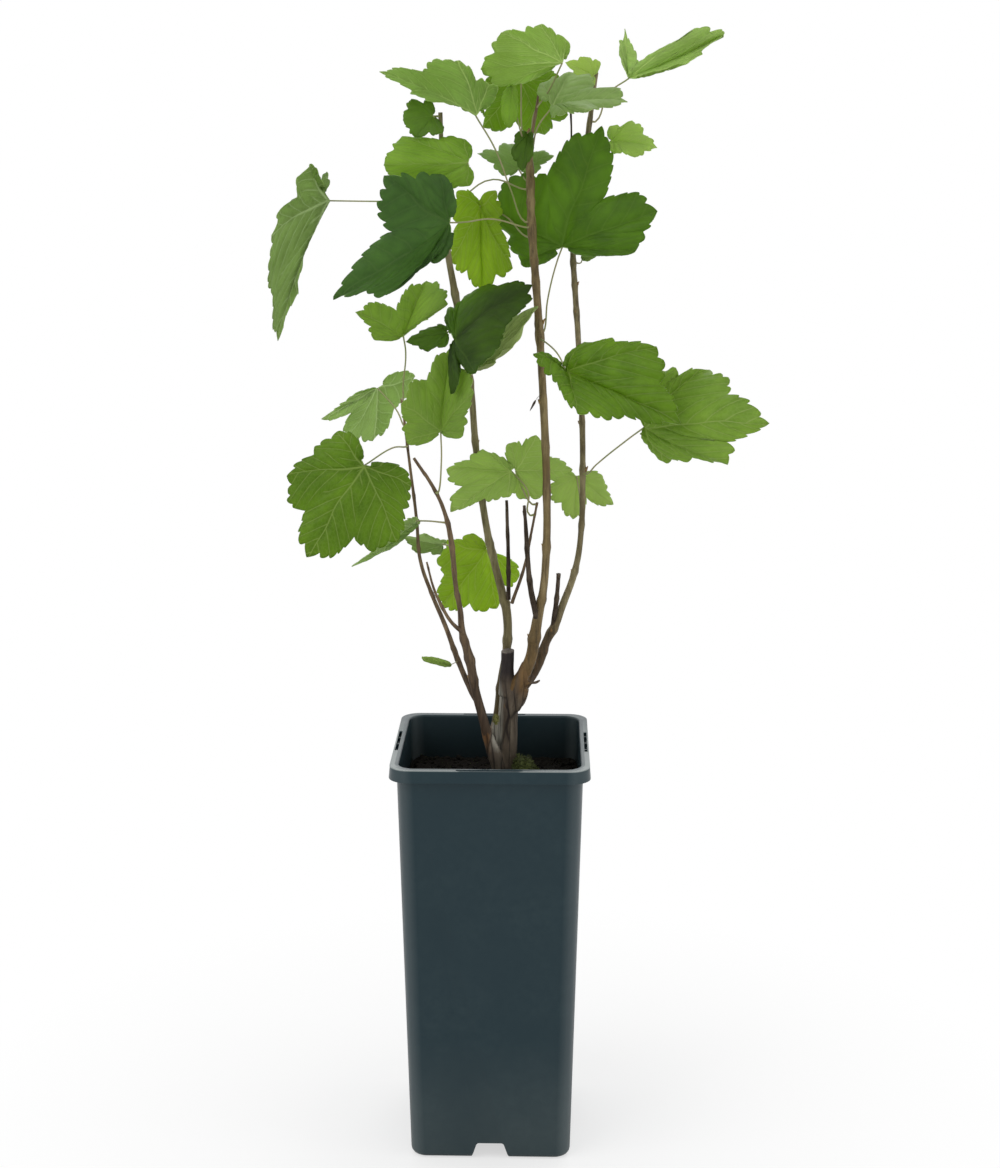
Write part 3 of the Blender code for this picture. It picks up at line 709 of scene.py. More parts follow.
start_clean()
bpy.ops.mesh.primitive_ico_sphere_add(subdivisions=1, radius=1)
crumb = bpy.context.object
for vert in crumb.data.vertices:
    vert.co *= 1 + wobble(vert.co * 3 + Vector((4, 1, 7)), 1.3, 0.6)
chance = random.Random(11)
spots = []
while len(spots) < CRUMBS:
    x, y = (chance.uniform(-1, 1) * (soil_half - 2.5) for _ in range(2))
    if Vector((x - TRUNK_X, y)).length > 9:
        size = chance.choice(CRUMB_SIZES)
        sizes = [size * chance.uniform(0.6, 1.3) for _ in range(3)]
        turn = [chance.uniform(0, 6.28) for _ in range(3)]  # radians, all the way round
        spots.append(placed((x, y, soil_height(x, y) + size * 0.3), turn, sizes))
crumbs = strew(crumb, spots)
soil = join([soil, crumbs])
smooth(soil, 50)


def peat():
    colours = ((9, 9, 8), (19, 17, 14), (36, 31, 24))
    material, shader, place, soft, colour = patchy("dark_peat", 140.0, colours, 0.4, 0.8, 1.0)
    feed(shader, Specular_IOR_Level=0.12)
    add_bump(shader, soft["Fine"], 0.6, 0.5)
    return material


paint(soil, peat())
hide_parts("soil_root_ball")
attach(soil, "root")
print("soil faces:", len(soil.data.polygons))

# %% [markdown]
# ## The stems' routes
# A bush like this was cut back once, so one short dark trunk carries a handful of young stems that rise
# almost straight. Each is a row of points with the wood's radius at each, from the thick end to the thin
# one. They are the same routes as the solids', so every leaf still starts on its stem.

# %% The stems' points
STEMS = {
    "trunk": [
        (7, 0, 162, 7.0), (7, 0, 199, 7.0), (7, 0, 214, 7.0), (8, 0, 230, 6.0), (9, 0, 249, 5.6),
        (10, 0, 264, 5.4),
    ],
    "stem_left": [
        (7, -4, 215, 3.4), (2, -6, 227, 3.2), (-2, -7, 239, 2.9), (-5, -9, 251, 2.6),
        (-9, -10, 267, 2.4), (-12, -12, 285, 2.6), (-16, -13, 301, 1.9), (-17, -15, 314, 1.5),
        (-19, -15, 325, 1.3), (-22, -18, 356, 1.5), (-25, -19, 369, 1.1), (-30, -20, 381, 1.0),
        (-41, -23, 399, 0.8),
    ],
    "stem_left_rear": [
        (-7.5, -9.5, 258, 1.2), (-11, -8, 265, 1.7), (-18, -4, 280, 1.5), (-26, 0, 301, 1.3),
        (-33, 3, 317, 1.1),
        (-40, 6, 337, 1.0), (-42, 9, 359, 0.9), (-46, 12, 392, 0.8), (-48, 14, 408, 0.7),
        (-50, 15, 426, 0.7),
    ],
    "twig_left": [
        (-15, -14, 300, 1.2), (-22, -18, 308, 1.0), (-27, -19, 317, 0.9), (-31, -18, 326, 0.7),
        (-35, -17, 341, 0.5),
    ],
    "stem_middle": [
        (3, 5, 222, 2.4), (1, 9, 235, 2.3), (3, 11, 249, 2.2), (5, 12, 266, 2.3), (8, 12, 284, 2.4),
        (8, 12, 306, 2.5), (5, 12, 319, 2.3), (1, 12, 335, 2.1), (-3, 12, 353, 2.0),
        (-9, 11, 399, 1.8), (-12, 10, 436, 1.8), (-20, 8, 484, 1.9), (-25, 6, 516, 1.6),
        (-27, 3, 579, 1.1),
    ],
    "stem_centre": [
        (10, -2, 255, 4.4), (14, -4, 268, 4.0), (19, -5, 277, 3.6), (22, -6, 285, 3.2),
        (24, -7, 298, 3.1), (26, -7, 310, 2.7), (28, -8, 320, 2.2), (30, -8, 343, 2.1),
        (30, -8, 385, 2.1), (28, -4, 428, 2.1), (26, 3, 460, 2.1), (24, 9, 486, 2.1),
        (21, 18, 523, 2.1), (20, 24, 552, 2.0), (18, 28, 569, 1.8),
    ],
    "stem_right": [
        (11, 4, 258, 2.8), (19, 6, 266, 2.8), (26, 8, 277, 2.6), (30, 9, 289, 2.4), (35, 9, 299, 2.4),
        (39, 9, 310, 2.1), (46, 10, 330, 1.8), (49, 11, 348, 1.6), (50, 14, 387, 1.6),
        (49, 20, 425, 1.6), (47, 26, 459, 1.6), (45, 32, 487, 1.6), (44, 37, 506, 1.6),
        (48, 42, 541, 1.6), (52, 46, 570, 1.5), (56, 50, 601, 1.0),
    ],
    "twig_middle_dead": [
        (9, 10, 314, 1.3), (9, 8, 337, 1.1), (8, 6, 371, 0.8),
    ],
    "twig_middle": [
        (11, 9, 312, 1.0), (18, 5, 334, 0.8), (22, 2, 355, 0.7), (25, 0, 371, 0.6),
    ],
    "twig_centre_dead": [
        (25, -8, 308, 1.8), (22, -11, 323, 1.6), (20, -13, 341, 1.4), (19, -14, 358, 1.1),
        (18, -15, 372, 0.8),
    ],
    "twig_right_dead": [
        (34, 9, 298, 1.5), (36, 4, 316, 1.3), (37, 0, 331, 1.0),
    ],
}
DEAD = ("twig_middle_dead", "twig_centre_dead", "twig_right_dead")
print(len(STEMS), "routes")

# %% [markdown]
# ## Where each leaf hangs
# A currant leaf has five lobes round one point, the junction, where the stalk meets the blade. The five
# lobe tips and the junction say how a leaf is turned, folded and cut better than angles could. So each
# leaf is one row: the stem and height that it grows from, the bends of its stalk, the junction, the lobe
# tips, and the depth of the notches between the lobes. All are places in the same frame as the solids.

# %% The leaves' places
LEAVES = {
    "leaf_crown_left": dict(
        stem="stem_centre", height=522, bends=[(10, 10, 539), (2, 2, 560)], junction=(-8, -4, 577),
        lobes=[(0, -20, 593), (-15, -36, 603), (-58, -10, 598), (-34, 22, 585), (-13, 18, 581)],
        sinus=(0.06, -0.04, 0, 0.06), tone="mid"),
    "leaf_crown_top": dict(
        stem="stem_centre", height=565, bends=[(22, 20, 578), (30, 10, 590)], junction=(37, 2, 604),
        lobes=[(39, -4, 616), (26, -4, 623), (5, 0, 619), (-6, 10, 601), (3, 16, 593)],
        sinus=(0, -0.04, -0.06, -0.08), heel=(0.6, 0.3), tone="light"),
    "leaf_crown_right": dict(
        stem="stem_centre", height=559, bends=[(24, 14, 571)], junction=(32, 6, 582),
        lobes=[(27, 22, 595), (43, 30, 601), (71, -10, 584), (51, -38, 578), (39, -16, 578)],
        sinus=(0.04, 0.02, 0.16, 0.06), tone="grey"),
    "leaf_crown_small": dict(
        stem="stem_right", height=596, junction=(54, 46, 599),
        lobes=[(54, 42, 594), (46, 38, 597), (39, 40, 606), (51, 46, 609), (57, 48, 607)],
        sinus=(0, -0.04, -0.04, 0), stalk=0.35, tone="yellow"),
    "leaf_top_right": dict(
        stem="stem_right", height=575, bends=[(63, 52, 590)], junction=(74, 54, 598),
        lobes=[(70, 66, 617), (72, 70, 625), (108, 56, 624), (126, 62, 621), (104, 44, 606)],
        sinus=(0, 0.78, -0.14, -0.06), heel=(0.3, 0.3), notch=0.6, tone="mid"),
    "leaf_upper_right_small": dict(
        stem="stem_right", height=554, bends=[(57, 32, 561)], junction=(64, 26, 564),
        lobes=[(64, 26, 572), (75, 26, 575), (88, 14, 561), (76, 10, 556), (66, 16, 558)],
        sinus=(0.06, -0.08, -0.08, 0.06), tone="light"),
    "leaf_upper_right": dict(
        stem="stem_centre", height=463, bends=[(30, 12, 480), (35, 24, 500)], junction=(38, 28, 508),
        lobes=[(15, 28, 500), (-2, 38, 529), (59, 18, 572), (88, 2, 528), (77, 6, 507)],
        sinus=(-0.04, -0.03, 0.3, -0.08), heel=(0.8, 0.3), tone="dark"),
    "leaf_crown_front": dict(
        stem="stem_centre", height=560, junction=(19, 18, 568),
        lobes=[(22, 14, 566), (22, 12, 557), (16, 6, 548), (10, 10, 558), (12, 14, 566)],
        sinus=(0.06, -0.05, -0.05, 0.06), tone="dark"),
    "leaf_crown_back": dict(
        stem="stem_centre", height=543, junction=(14, 38, 549),
        lobes=[(4, 36, 547), (-9, 44, 558), (10, 55, 563), (33, 44, 556), (24, 37, 548)],
        sinus=(0.06, 0.02, 0.02, 0.06), tone="grey"),
    "leaf_crown_lower": dict(
        stem="stem_centre", height=567, junction=(15, 34, 598),
        lobes=[(36, 38, 597), (41, 46, 578), (28, 56, 568), (-6, 46, 572), (-4, 38, 595)],
        sinus=(0.06, 0.04, 0.1, 0.06), tone="mid", more=[dict(
            stem="stem_centre", height=563, bends=[(14, 8, 574)], junction=(10, 6, 593), oval=5,
            lobes=[(14, 6, 590), (15, 4, 584), (9, 2, 571), (4, 2, 584), (5, 4, 590)],
            look=(1.55, 0.8, 0.1, 0.6))]),
    "leaf_left_top": dict(
        stem="stem_middle", height=577, junction=(-31, 0, 577),
        lobes=[(-26, -6, 568), (-40, -6, 566), (-46, -8, 575), (-42, 0, 586), (-32, 4, 584)],
        sinus=(0.06, -0.1, -0.1, 0.06), tone="dark"),
    "leaf_upper_left_folded": dict(
        stem="stem_middle", height=539, bends=[(-17, -6, 545)], junction=(-12, -8, 553),
        lobes=[(-12, -6, 542), (-47, -4, 539), (-56, -14, 552), (-47, -2, 567), (-14, -2, 565)],
        sinus=(0.06, -0.08, -0.08, 0.06), tone="light"),
    "leaf_upper_left": dict(
        stem="stem_centre", height=519, bends=[(1, -4, 524), (-15, -24, 523)], junction=(-21, -28, 523),
        lobes=[(-31, -22, 503), (-54, -12, 486), (-81, -40, 485), (-54, -36, 547), (-26, -34, 548)],
        sinus=(-0.03, -0.04, 0.27, -0.06), heel=(0.8, 0.9), round=0.3, notch=1.3, tone="blue"),
    "leaf_far_left": dict(
        stem="stem_centre", height=539, bends=[(0, 34, 544), (-23, 54, 532), (-66, 80, 531)],
        junction=(-96, 92, 531),
        lobes=[(-107, 80, 552), (-125, 62, 512), (-129, 108, 448), (-117, 122, 492), (-99, 104, 547)],
        sinus=(0.05, -0.2, 0, 0.3), heel=(0.25, 0.3), tone="pale"),
    "leaf_upper_hanging": dict(
        stem="stem_centre", height=514, bends=[(6, 28, 525)], junction=(-7, 30, 529),
        lobes=[(2, 28, 538), (11, 16, 497), (-6, 24, 484), (-23, 14, 501), (-20, 28, 537)],
        sinus=(0.1, -0.03, -0.03, 0.02), tone="yellow"),
    "leaf_mid_left": dict(
        stem="stem_left_rear", height=426, bends=[(-49, 12, 433), (-47, 8, 452)], junction=(-48, 6, 461),
        lobes=[(-64, -2, 461), (-73, -2, 475), (-36, 20, 490), (-23, -2, 479), (-39, 0, 468)],
        sinus=(0.06, 0.25, -0.2, 0.06), heel=(0.5, 0.25), tone="light"),
    "leaf_middle": dict(
        stem="stem_middle", height=459, junction=(-19, -22, 462),
        lobes=[(-24, -4, 474), (-15, 6, 483), (22, -18, 491), (-7, -52, 448), (-18, -42, 436)],
        sinus=(0, -0.14, -0.16, 0.35), heel=(0.25, 0.6), tone="dark", more=[dict(
            # the folded-back half shows the pale underside; its extra brightness is painted light where it
            # lies in the leaf's own shade
            junction=(-10, -46, 450), look=(2.6, 0.8, 0.82, 0),
            lobes=[(3, -44, 454), (13, -36, 462), (25, -20, 480), (8, -26, 474), (-4, -31, 464)],
            sinus=(-0.04, -0.06, 0, 0), heel=(0.3, 0.3))]),
    "leaf_middle_small": dict(
        stem="stem_middle", height=466, junction=(-24, -4, 464),
        lobes=[(-26, -9, 457), (-34, -16, 455), (-45, -20, 461), (-34, -6, 467), (-27, -1, 468)],
        sinus=(0.06, -0.05, -0.05, 0.06), tone="dark"),
    "leaf_middle_front": dict(
        stem="stem_left", height=380, bends=[(-26, -28, 398)], junction=(-26, -32, 415),
        lobes=[(-44, -38, 411), (-46, -46, 431), (-21, -19, 458), (-8, -46, 437), (-14, -38, 414)],
        sinus=(-0.03, -0.03, -0.12, -0.02), tone="mid"),
    "leaf_left_pale": dict(
        stem="stem_left_rear", height=411, bends=[(-55, 34, 418)], junction=(-66, 46, 428),
        lobes=[(-83, 60, 421), (-101, 64, 408), (-85, 54, 398), (-69, 44, 398), (-45, 52, 434)],
        sinus=(0, 0.3, -0.04, -0.14), heel=(0.25, 1), tone="pale"),
    "leaf_lower_left": dict(
        stem="stem_left_rear", height=400, bends=[(-54, -8, 402)], junction=(-67, -30, 396),
        lobes=[(-42, -28, 385), (-49, -36, 356), (-97, -44, 349), (-108, -30, 390), (-82, -26, 413)],
        sinus=(-0.05, 0.02, -0.02, -0.1), tone="mid"),
    "leaf_lower_left_narrow": dict(
        stem="stem_left", height=363, bends=[(-33, -14, 363)], junction=(-41, -8, 362),
        lobes=[(-51, 10, 356), (-65, 20, 345), (-78, 2, 334), (-58, -20, 349), (-47, -14, 358)],
        tone="grey"),
    "leaf_lower_left_pale": dict(
        stem="stem_left", height=349, junction=(-28, 12, 345),
        lobes=[(-27, 19, 346), (-39, 26, 348), (-50, 16, 348), (-42, 10, 340), (-30, 9, 340)],
        sinus=(0.06, 0, -0.05, 0.06), tone="pale"),
    "leaf_lower_middle": dict(
        stem="stem_middle", height=340, junction=(-3, 30, 338),
        lobes=[(14, 30, 322), (2, 30, 304), (-31, 40, 301), (-27, 34, 343), (-13, 30, 347)],
        sinus=(0.06, -0.02, -0.08, 0.06), tone="yellow"),
    "leaf_centre_left": dict(
        stem="twig_middle", height=364, bends=[(20, 0, 377)], junction=(11, 1, 388),
        lobes=[(8, -6, 375), (-22, -14, 368), (-25, 2, 389), (-5, 4, 400), (8, 4, 394)],
        sinus=(0.06, 0.12, 0, 0.06), tone="light"),
    "leaf_centre_right": dict(
        stem="twig_middle", height=370, junction=(13, 3, 388),
        lobes=[(10, 6, 403), (24, 8, 407), (44, 14, 387), (26, 6, 372), (17, 4, 372)],
        sinus=(0.06, 0.1, 0.2, 0.06), tone="light"),
    "leaf_right_back": dict(
        stem="stem_right", height=370, junction=(47, 34, 380),
        lobes=[(62, 34, 379), (68, 34, 364), (45, 36, 355), (31, 30, 373), (33, 30, 381)],
        sinus=(-0.05, 0.3, -0.1, 0), tone="light"),
    "leaf_right": dict(
        stem="stem_centre", height=460, bends=[(35, -28, 456)], junction=(40, -55, 449),
        lobes=[(49, -50, 464), (84, -78, 465), (96, -98, 428), (47, -82, 430), (23, -50, 457)],
        sinus=(-0.08, -0.02, -0.03, -0.12), heel=(0.7, 0.3), tone="mid"),
    "leaf_far_right": dict(
        stem="stem_right", height=385, bends=[(57, 0, 392), (72, -36, 411)], junction=(80, -58, 421),
        lobes=[(90, -58, 450), (111, -68, 453), (136.6, -120, 432), (119, -102, 409), (94, -70, 407)],
        sinus=(0, -0.02, 0.1, 0), tone="light"),
    "leaf_base_left": dict(
        stem="stem_left_rear", height=282, junction=(-22, -16, 283), oval=2.9,
        lobes=[(-23, -15, 281), (-29, -16, 283), (-38, -20, 288), (-29, -20, 288), (-23, -18, 286)],
        stalk=0.2, tone="mid"),
    "leaf_bud_right": dict(
        stem="stem_right", height=499, junction=(49, 34, 501),
        lobes=[(48, 36, 504), (53, 34, 508), (59, 30, 508), (59, 28, 502), (51, 32, 498)], oval=3.6,
        stalk=0.3, tone="pale"),
}
print(len(LEAVES), "leaves")

# %% [markdown]
# ## A tube that tapers along its route
# A bevelled curve is the quickest way to a stem: each point carries its own radius, and the curve rounds
# the bends. Skinning a chain of edges would do too, but it gives less say over thickness. The curve
# becomes a mesh, so that knots and buds can be worked into it.

# %% Tube
SURPLUS = 0.01  # points of a tube that lie closer than this are merged


def tube(name, points, sides=16, resolution=8):
    start_clean()
    bpy.ops.curve.primitive_bezier_curve_add(radius=MM)
    stem = bpy.context.object
    stem.name = name
    stem.location = (0, 0, 0)
    curve = stem.data
    curve.dimensions = "3D"
    curve.bevel_depth, curve.bevel_resolution = MM, sides // 2 - 2
    curve.resolution_u, curve.use_fill_caps = resolution, True
    spline = curve.splines[0]
    spline.bezier_points.add(len(points) - 2)
    for bezier, (x, y, z, radius) in zip(spline.bezier_points, points):
        bezier.co = Vector((x, y, z)) * MM
        bezier.radius = radius
        bezier.handle_left_type = bezier.handle_right_type = "AUTO"
    bpy.ops.object.convert(target="MESH")
    stem = bpy.context.object
    stem.name = stem.data.name = name
    pick(stem, "VERT")
    bpy.ops.mesh.remove_doubles(threshold=SURPLUS * MM)
    bpy.ops.mesh.normals_make_consistent(inside=False)
    done()
    return stem


def roughen(piece, strength, width, height):
    """Presses a long grain into a stem: lumps this wide and this high, and this strong."""
    count = len(piece.data.vertices)
    places, facing = np.empty(count * 3), np.empty(count * 3)
    piece.data.vertices.foreach_get("co", places)
    piece.data.vertices.foreach_get("normal", facing)
    push = np.empty(count)
    for number, (x, y, z) in enumerate(places.reshape(-1, 3) / MM):
        push[number] = noise.noise((x / width, y / width, z / height))
        push[number] += noise.noise((x / width * 2.7, y / width * 2.7, z / height * 2 + 9)) * 0.5
    places += (facing.reshape(-1, 3) * push[:, None] * strength * MM).ravel()
    piece.data.vertices.foreach_set("co", places)
    piece.data.update()


print("tube ready")

# %% [markdown]
# ## Nodes and buds
# A young stem isn't a plain rod. It thickens a little at every node, where a leaf grows or once grew, and
# a pointed bud sits there under its scales. Nodes are swellings pressed into the tube. The bud is shaped
# once from a ball that is drawn to a point, and then copied.

# %% Swellings and one bud
# Besides the leaves' feet, each stem has more nodes, as (height, compass angle in degrees, bud length or 0)
NODES = {
    "stem_left": [
        (273, 195, 3.6), (285, 20, 0), (296, 170, 1.6), (322, 60, 1.8), (336, 240, 2.2), (390, 100, 2.0),
    ],
    "stem_left_rear": [(288, 220, 1.2), (318, 60, 1.6), (344, 200, 1.8), (372, 40, 1.6)],
    "twig_left": [(316, 200, 1.4), (338, 100, 2.4)],
    "stem_middle": [
        (262, 150, 0), (290, 20, 2.0), (312, 210, 0), (346, 80, 2.4), (372, 250, 2.2), (402, 30, 2.4),
        (436, 190, 2.4), (484, 320, 2.2), (508, 130, 2.2), (560, 230, 2.4),
    ],
    "stem_centre": [
        (296, 185, 3.4), (318, 40, 0), (348, 190, 2.4), (378, 330, 2.6), (404, 140, 2.2), (426, 200, 3.6),
        (468, 350, 4.2), (489, 60, 2.8), (502, 220, 2.4), (532, 20, 2.4), (550, 300, 2.2), (568, 60, 4.5),
    ],
    "stem_right": [
        (284, 320, 0), (296, 262, 3.4), (330, 200, 2.2), (356, 20, 2.2), (386, 340, 4.4), (412, 170, 2.4),
        (440, 60, 2.4), (472, 250, 2.2), (487, 340, 3.0), (524, 110, 2.4), (547, 30, 2.4),
        (588, 180, 3.0), (601, 90, 5.0),
    ],
    "twig_middle_dead": [(330, 40, 1.2), (352, 220, 1.2)],
    "twig_middle": [(330, 300, 1.4), (350, 100, 1.4)],
    "twig_centre_dead": [(330, 210, 1.8), (348, 20, 1.6), (368, 190, 1.4)],
    "twig_right_dead": [(316, 20, 1.6), (330, 220, 2.0)],
}


def stem_at(name, height):
    """The centre and the radius of a stem at a height."""
    points = STEMS[name]
    for (*low, low_radius), (*high, high_radius) in zip(points, points[1:]):
        if low[2] <= height <= high[2]:
            share = (height - low[2]) / (high[2] - low[2])
            return Vector(low).lerp(Vector(high), share), low_radius + (high_radius - low_radius) * share
    return Vector(points[-1][:3]), points[-1][3]


def compass_vector(compass):
    return Vector((cos(radians(compass)), sin(radians(compass)), 0))


def turn_from_up(direction):
    """The turn that points a thing that stood upright this way."""
    return Vector((0, 0, 1)).rotation_difference(direction).to_matrix().to_4x4()


def swell_nodes(piece, name, heights):
    for height in heights:
        centre, radius = stem_at(name, height)
        for vert in piece.data.vertices:
            rise = vert.co.z / MM - height
            if abs(rise) < 5:
                side = Vector((vert.co.x / MM - centre.x, vert.co.y / MM - centre.y, 0))
                share = 0.24 * radius * np.exp(-((rise / (1.1 + 0.5 * radius)) ** 2))
                vert.co += side.normalized() * share * MM
    piece.data.update()


def make_bud():
    """A bud that points up, with two scales that overlap. It is sized as it is placed."""
    start_clean()
    bpy.ops.mesh.primitive_uv_sphere_add(segments=10, ring_count=9, radius=0.5, location=(0, 0, 0.5))
    bud = bpy.context.object
    settle(bud)
    for vert in bud.data.vertices:
        x, y, z = vert.co
        waist = 0.62 * (1 - max(z - 0.25, 0) ** 1.2 * 1.05) * (1 + 0.12 * sin(2 * np.arctan2(y, x) + 9 * z))
        vert.co = Vector((x * waist, y * waist, z - 0.12))
    bpy.ops.object.shade_smooth()
    return bud


def bud_matrices(name):
    made = []
    for height, compass, length in NODES.get(name, []):
        if not length:
            continue
        centre, radius = stem_at(name, height)
        away = compass_vector(compass)
        turned = turn_from_up((away * 0.55 + Vector((0, 0, 1))).normalized())
        place = Matrix.Translation((centre + away * radius * 0.8) * MM)
        made.append(place @ turned @ Matrix.Diagonal((length * 0.8 * MM, length * 0.8 * MM, length * MM, 1)))
    return made


print("nodes:", sum(len(rows) for rows in NODES.values()))

# %% [markdown]
# ## Bark
# The young wood is smooth and olive to tan with pale streaks and pores, and rust brown where it leaves
# old wood. Dead twigs have gone nearly black. The trunk is dark with cracks, its skin peels to silver
# grey on the left, and the cut stub is ashen with a pale rim. All use the same grain group, and heights
# in the object's frame place the zones.


# %% Bark materials
def bark(name, colours, scale, stretch, depth, crack, foot=None):
    """colours are dark, plain and pale; foot is another one lower down, and the heights where it fades."""
    dark, plain, pale = [rgb(*colour) for colour in colours]
    material, tree, shader = new_material(name)
    place = object_place(tree)
    grain = place_group(BARK, Vector=place, Scale=scale, Stretch=stretch)
    streaks = grain["Streaks"]
    soft = place_group(PATCHES, Vector=place, Scale=38.0)
    colour = blend(streaks, dark, plain)
    colour = blend(soft["Broad"] * streaks, colour, pale)
    colour = blend(grain["Pores"] * 0.5, colour, pale)
    shade = tinted(dark, 0.4)
    colour = blend(grain["Cracks"] * crack, colour, shade)
    if foot:
        foot_colour, low, high = foot
        rise = axes(place)[2] + streaks * (9 * MM)
        old = zone(rise, low + 4, high + 4, 0.9, 0.0)
        colour = blend(old, colour, blend(streaks, shade, rgb(*foot_colour)))
    rough = fade(streaks, 0.0, 1.0, 0.5, 0.7)
    feed(shader, Base_Color=colour, Roughness=rough, Specular_IOR_Level=0.3)
    add_bump(shader, grain["Height"], 0.6, depth)
    return material


YOUNG = dict(scale=480.0, stretch=10.0, depth=0.12)
young_bark = bark(
    "young_bark", ((80, 66, 38), (114, 95, 57), (148, 132, 94)),
    crack=0.1, foot=((114, 84, 44), 272, 312), **YOUNG
)
red_bark = bark(
    "reddish_bark", ((70, 54, 38), (108, 88, 62), (148, 126, 94)),
    crack=0.12, foot=((78, 62, 50), 252, 330), **YOUNG
)
fork_bark = bark(
    "olive_bark_right", ((76, 67, 42), (112, 101, 68), (148, 138, 104)),
    crack=0.12, foot=((86, 60, 38), 290, 312), **YOUNG
)
grey_bark = bark(
    "olive_bark", ((84, 77, 46), (118, 110, 74), (150, 142, 106)),
    crack=0.1, foot=((92, 74, 40), 262, 312), **YOUNG
)
dead_bark = bark("dead_wood", ((40, 32, 24), (66, 56, 45), (100, 88, 74)), 460.0, 6.0, 0.25, crack=0.5)
feed(dead_bark.node_tree.nodes["Principled BSDF"], Specular_IOR_Level=0.1)
scale_colours = ((92, 62, 38), (138, 104, 64), (172, 150, 92))
bud_scales = bark("bud_scales", scale_colours, 700.0, 4.0, 0.1, crack=0.2)


def trunk_bark():
    """Dark old bark that peels to silver grey on the trunk's left, with a long crack and rust-brown forks."""
    material, tree, shader = new_material("old_bark")
    place = object_place(tree)
    grain = place_group(BARK, Vector=place, Scale=210.0, Stretch=6.0)
    streaks = grain["Streaks"]
    soft = place_group(PATCHES, Vector=place, Scale=60.0)
    x, _, z = axes(place)
    drift = (streaks - 0.5) * (1.6 * MM)
    across = x + drift

    def coat(colour, mask, deep, pale):
        """Lays streaks of two colours over the bark, as far as a mask lets them show."""
        return blend(mask, colour, blend(streaks, rgb(*deep), rgb(*pale)))

    dark = blend(streaks, rgb(49, 43, 35), rgb(90, 80, 66))
    colour = blend(soft["Broad"] * 0.5, dark, rgb(98, 84, 74))
    above_soil = zone(z + drift, 230, 237, 0.05, 1.0)
    peeled = zone(across, 4.6, 6.6, 1.0, 0.0) * above_soil
    peeled = peeled * zone(across, -1.2, 0.8, 0.35, 1.0)
    peeled = peeled * zone(z, 262, 272, 1.0, 0.0)
    colour = coat(colour, peeled, (132, 129, 119), (182, 178, 164))
    right = zone(across, 9.8, 11.2) * zone(z, 226, 238)
    right = right * zone(z, 256, 266, 0.7, 0.0)
    colour = coat(colour, right, (76, 66, 54), (126, 116, 100))
    ash = zone(z, 268, 276) * zone(across, 12.2, 13.8, 1.0, 0.0)
    colour = coat(colour, ash, (27, 23, 22), (50, 43, 42))
    rim = zone(z + drift * 0.5, 286.8, 287.4)
    colour = blend(rim * zone(x, 6, 9.5, 0.8, 0.35), colour, rgb(132, 121, 114))
    sway = maths("SINE", z * 420.0) * (0.7 * MM)
    off = abs(across + sway - 9.1 * MM)
    split_line = zone(off, 0.4, 1.1, 0.85, 0.0) * zone(z, 234, 238)
    split_line = split_line * zone(z, 257, 262, 1.0, 0.0)
    colour = blend(split_line, colour, rgb(34, 27, 23))
    fork = zone(across, 11.8, 16.5) * zone(z, 258, 268)
    fork = fork * zone(x, 20.5, 22.5, 1.0, 0.1)
    base = zone(across, -2.2, 0.4, 1.0, 0.0) * zone(z, 228, 236)
    fork = fork * fade(soft["Broad"], 0.0, 1.0, 0.45, 1.0)
    colour = coat(colour, fork, (76, 58, 38), (124, 96, 58))
    base = base * fade(soft["Broad"], 0.0, 1.0, 0.6, 1.0)
    colour = coat(colour, base, (92, 60, 30), (144, 102, 52))
    cracks = grain["Cracks"] * zone(z, 262, 272, 0.75, 0.25)
    colour = blend(cracks, colour, rgb(20, 16, 14))
    rough = fade(streaks, 0.0, 1.0, 0.55, 0.8)
    feed(shader, Base_Color=colour, Roughness=rough, Specular_IOR_Level=0.25)
    add_bump(shader, grain["Height"], 0.6, 0.45)
    return material


old_bark = trunk_bark()
print("materials so far:", [material.name for material in bpy.data.materials])

# %% [markdown]
# ## The stems
# Each stem is its tube with its nodes, its grain and its buds in one mesh. Where a stem leaves another it
# simply runs a little way into it, as real wood does.

# %% Dress the stems
BARKS = {"stem_middle": grey_bark, "stem_centre": young_bark, "stem_right": fork_bark}
BARKS.update({name: red_bark for name in ("stem_left", "stem_left_rear", "twig_left", "twig_middle")})
BARKS.update({name: dead_bark for name in DEAD})


def dried_scale():
    """A shrivelled bud scale that still hangs from the centre stem by a thread."""
    thread_points = [(27.5, -5, 431, 0.16), (25.4, -5.5, 430, 0.12), (23.4, -5.2, 427, 0.12)]
    thread = tube("thread", thread_points, 8, 4)
    scale = strew(make_bud(), [placed((23.6, -5.2, 427.4), (0, radians(208), 0), (2.4, 1.8, 7))])
    paint(thread, dead_bark)
    paint(scale, dead_bark)
    return [thread, scale]


def bare_twig(points, material):
    twig = tube("bare_twig", points, 8, 4)
    paint(twig, material)
    return [twig]


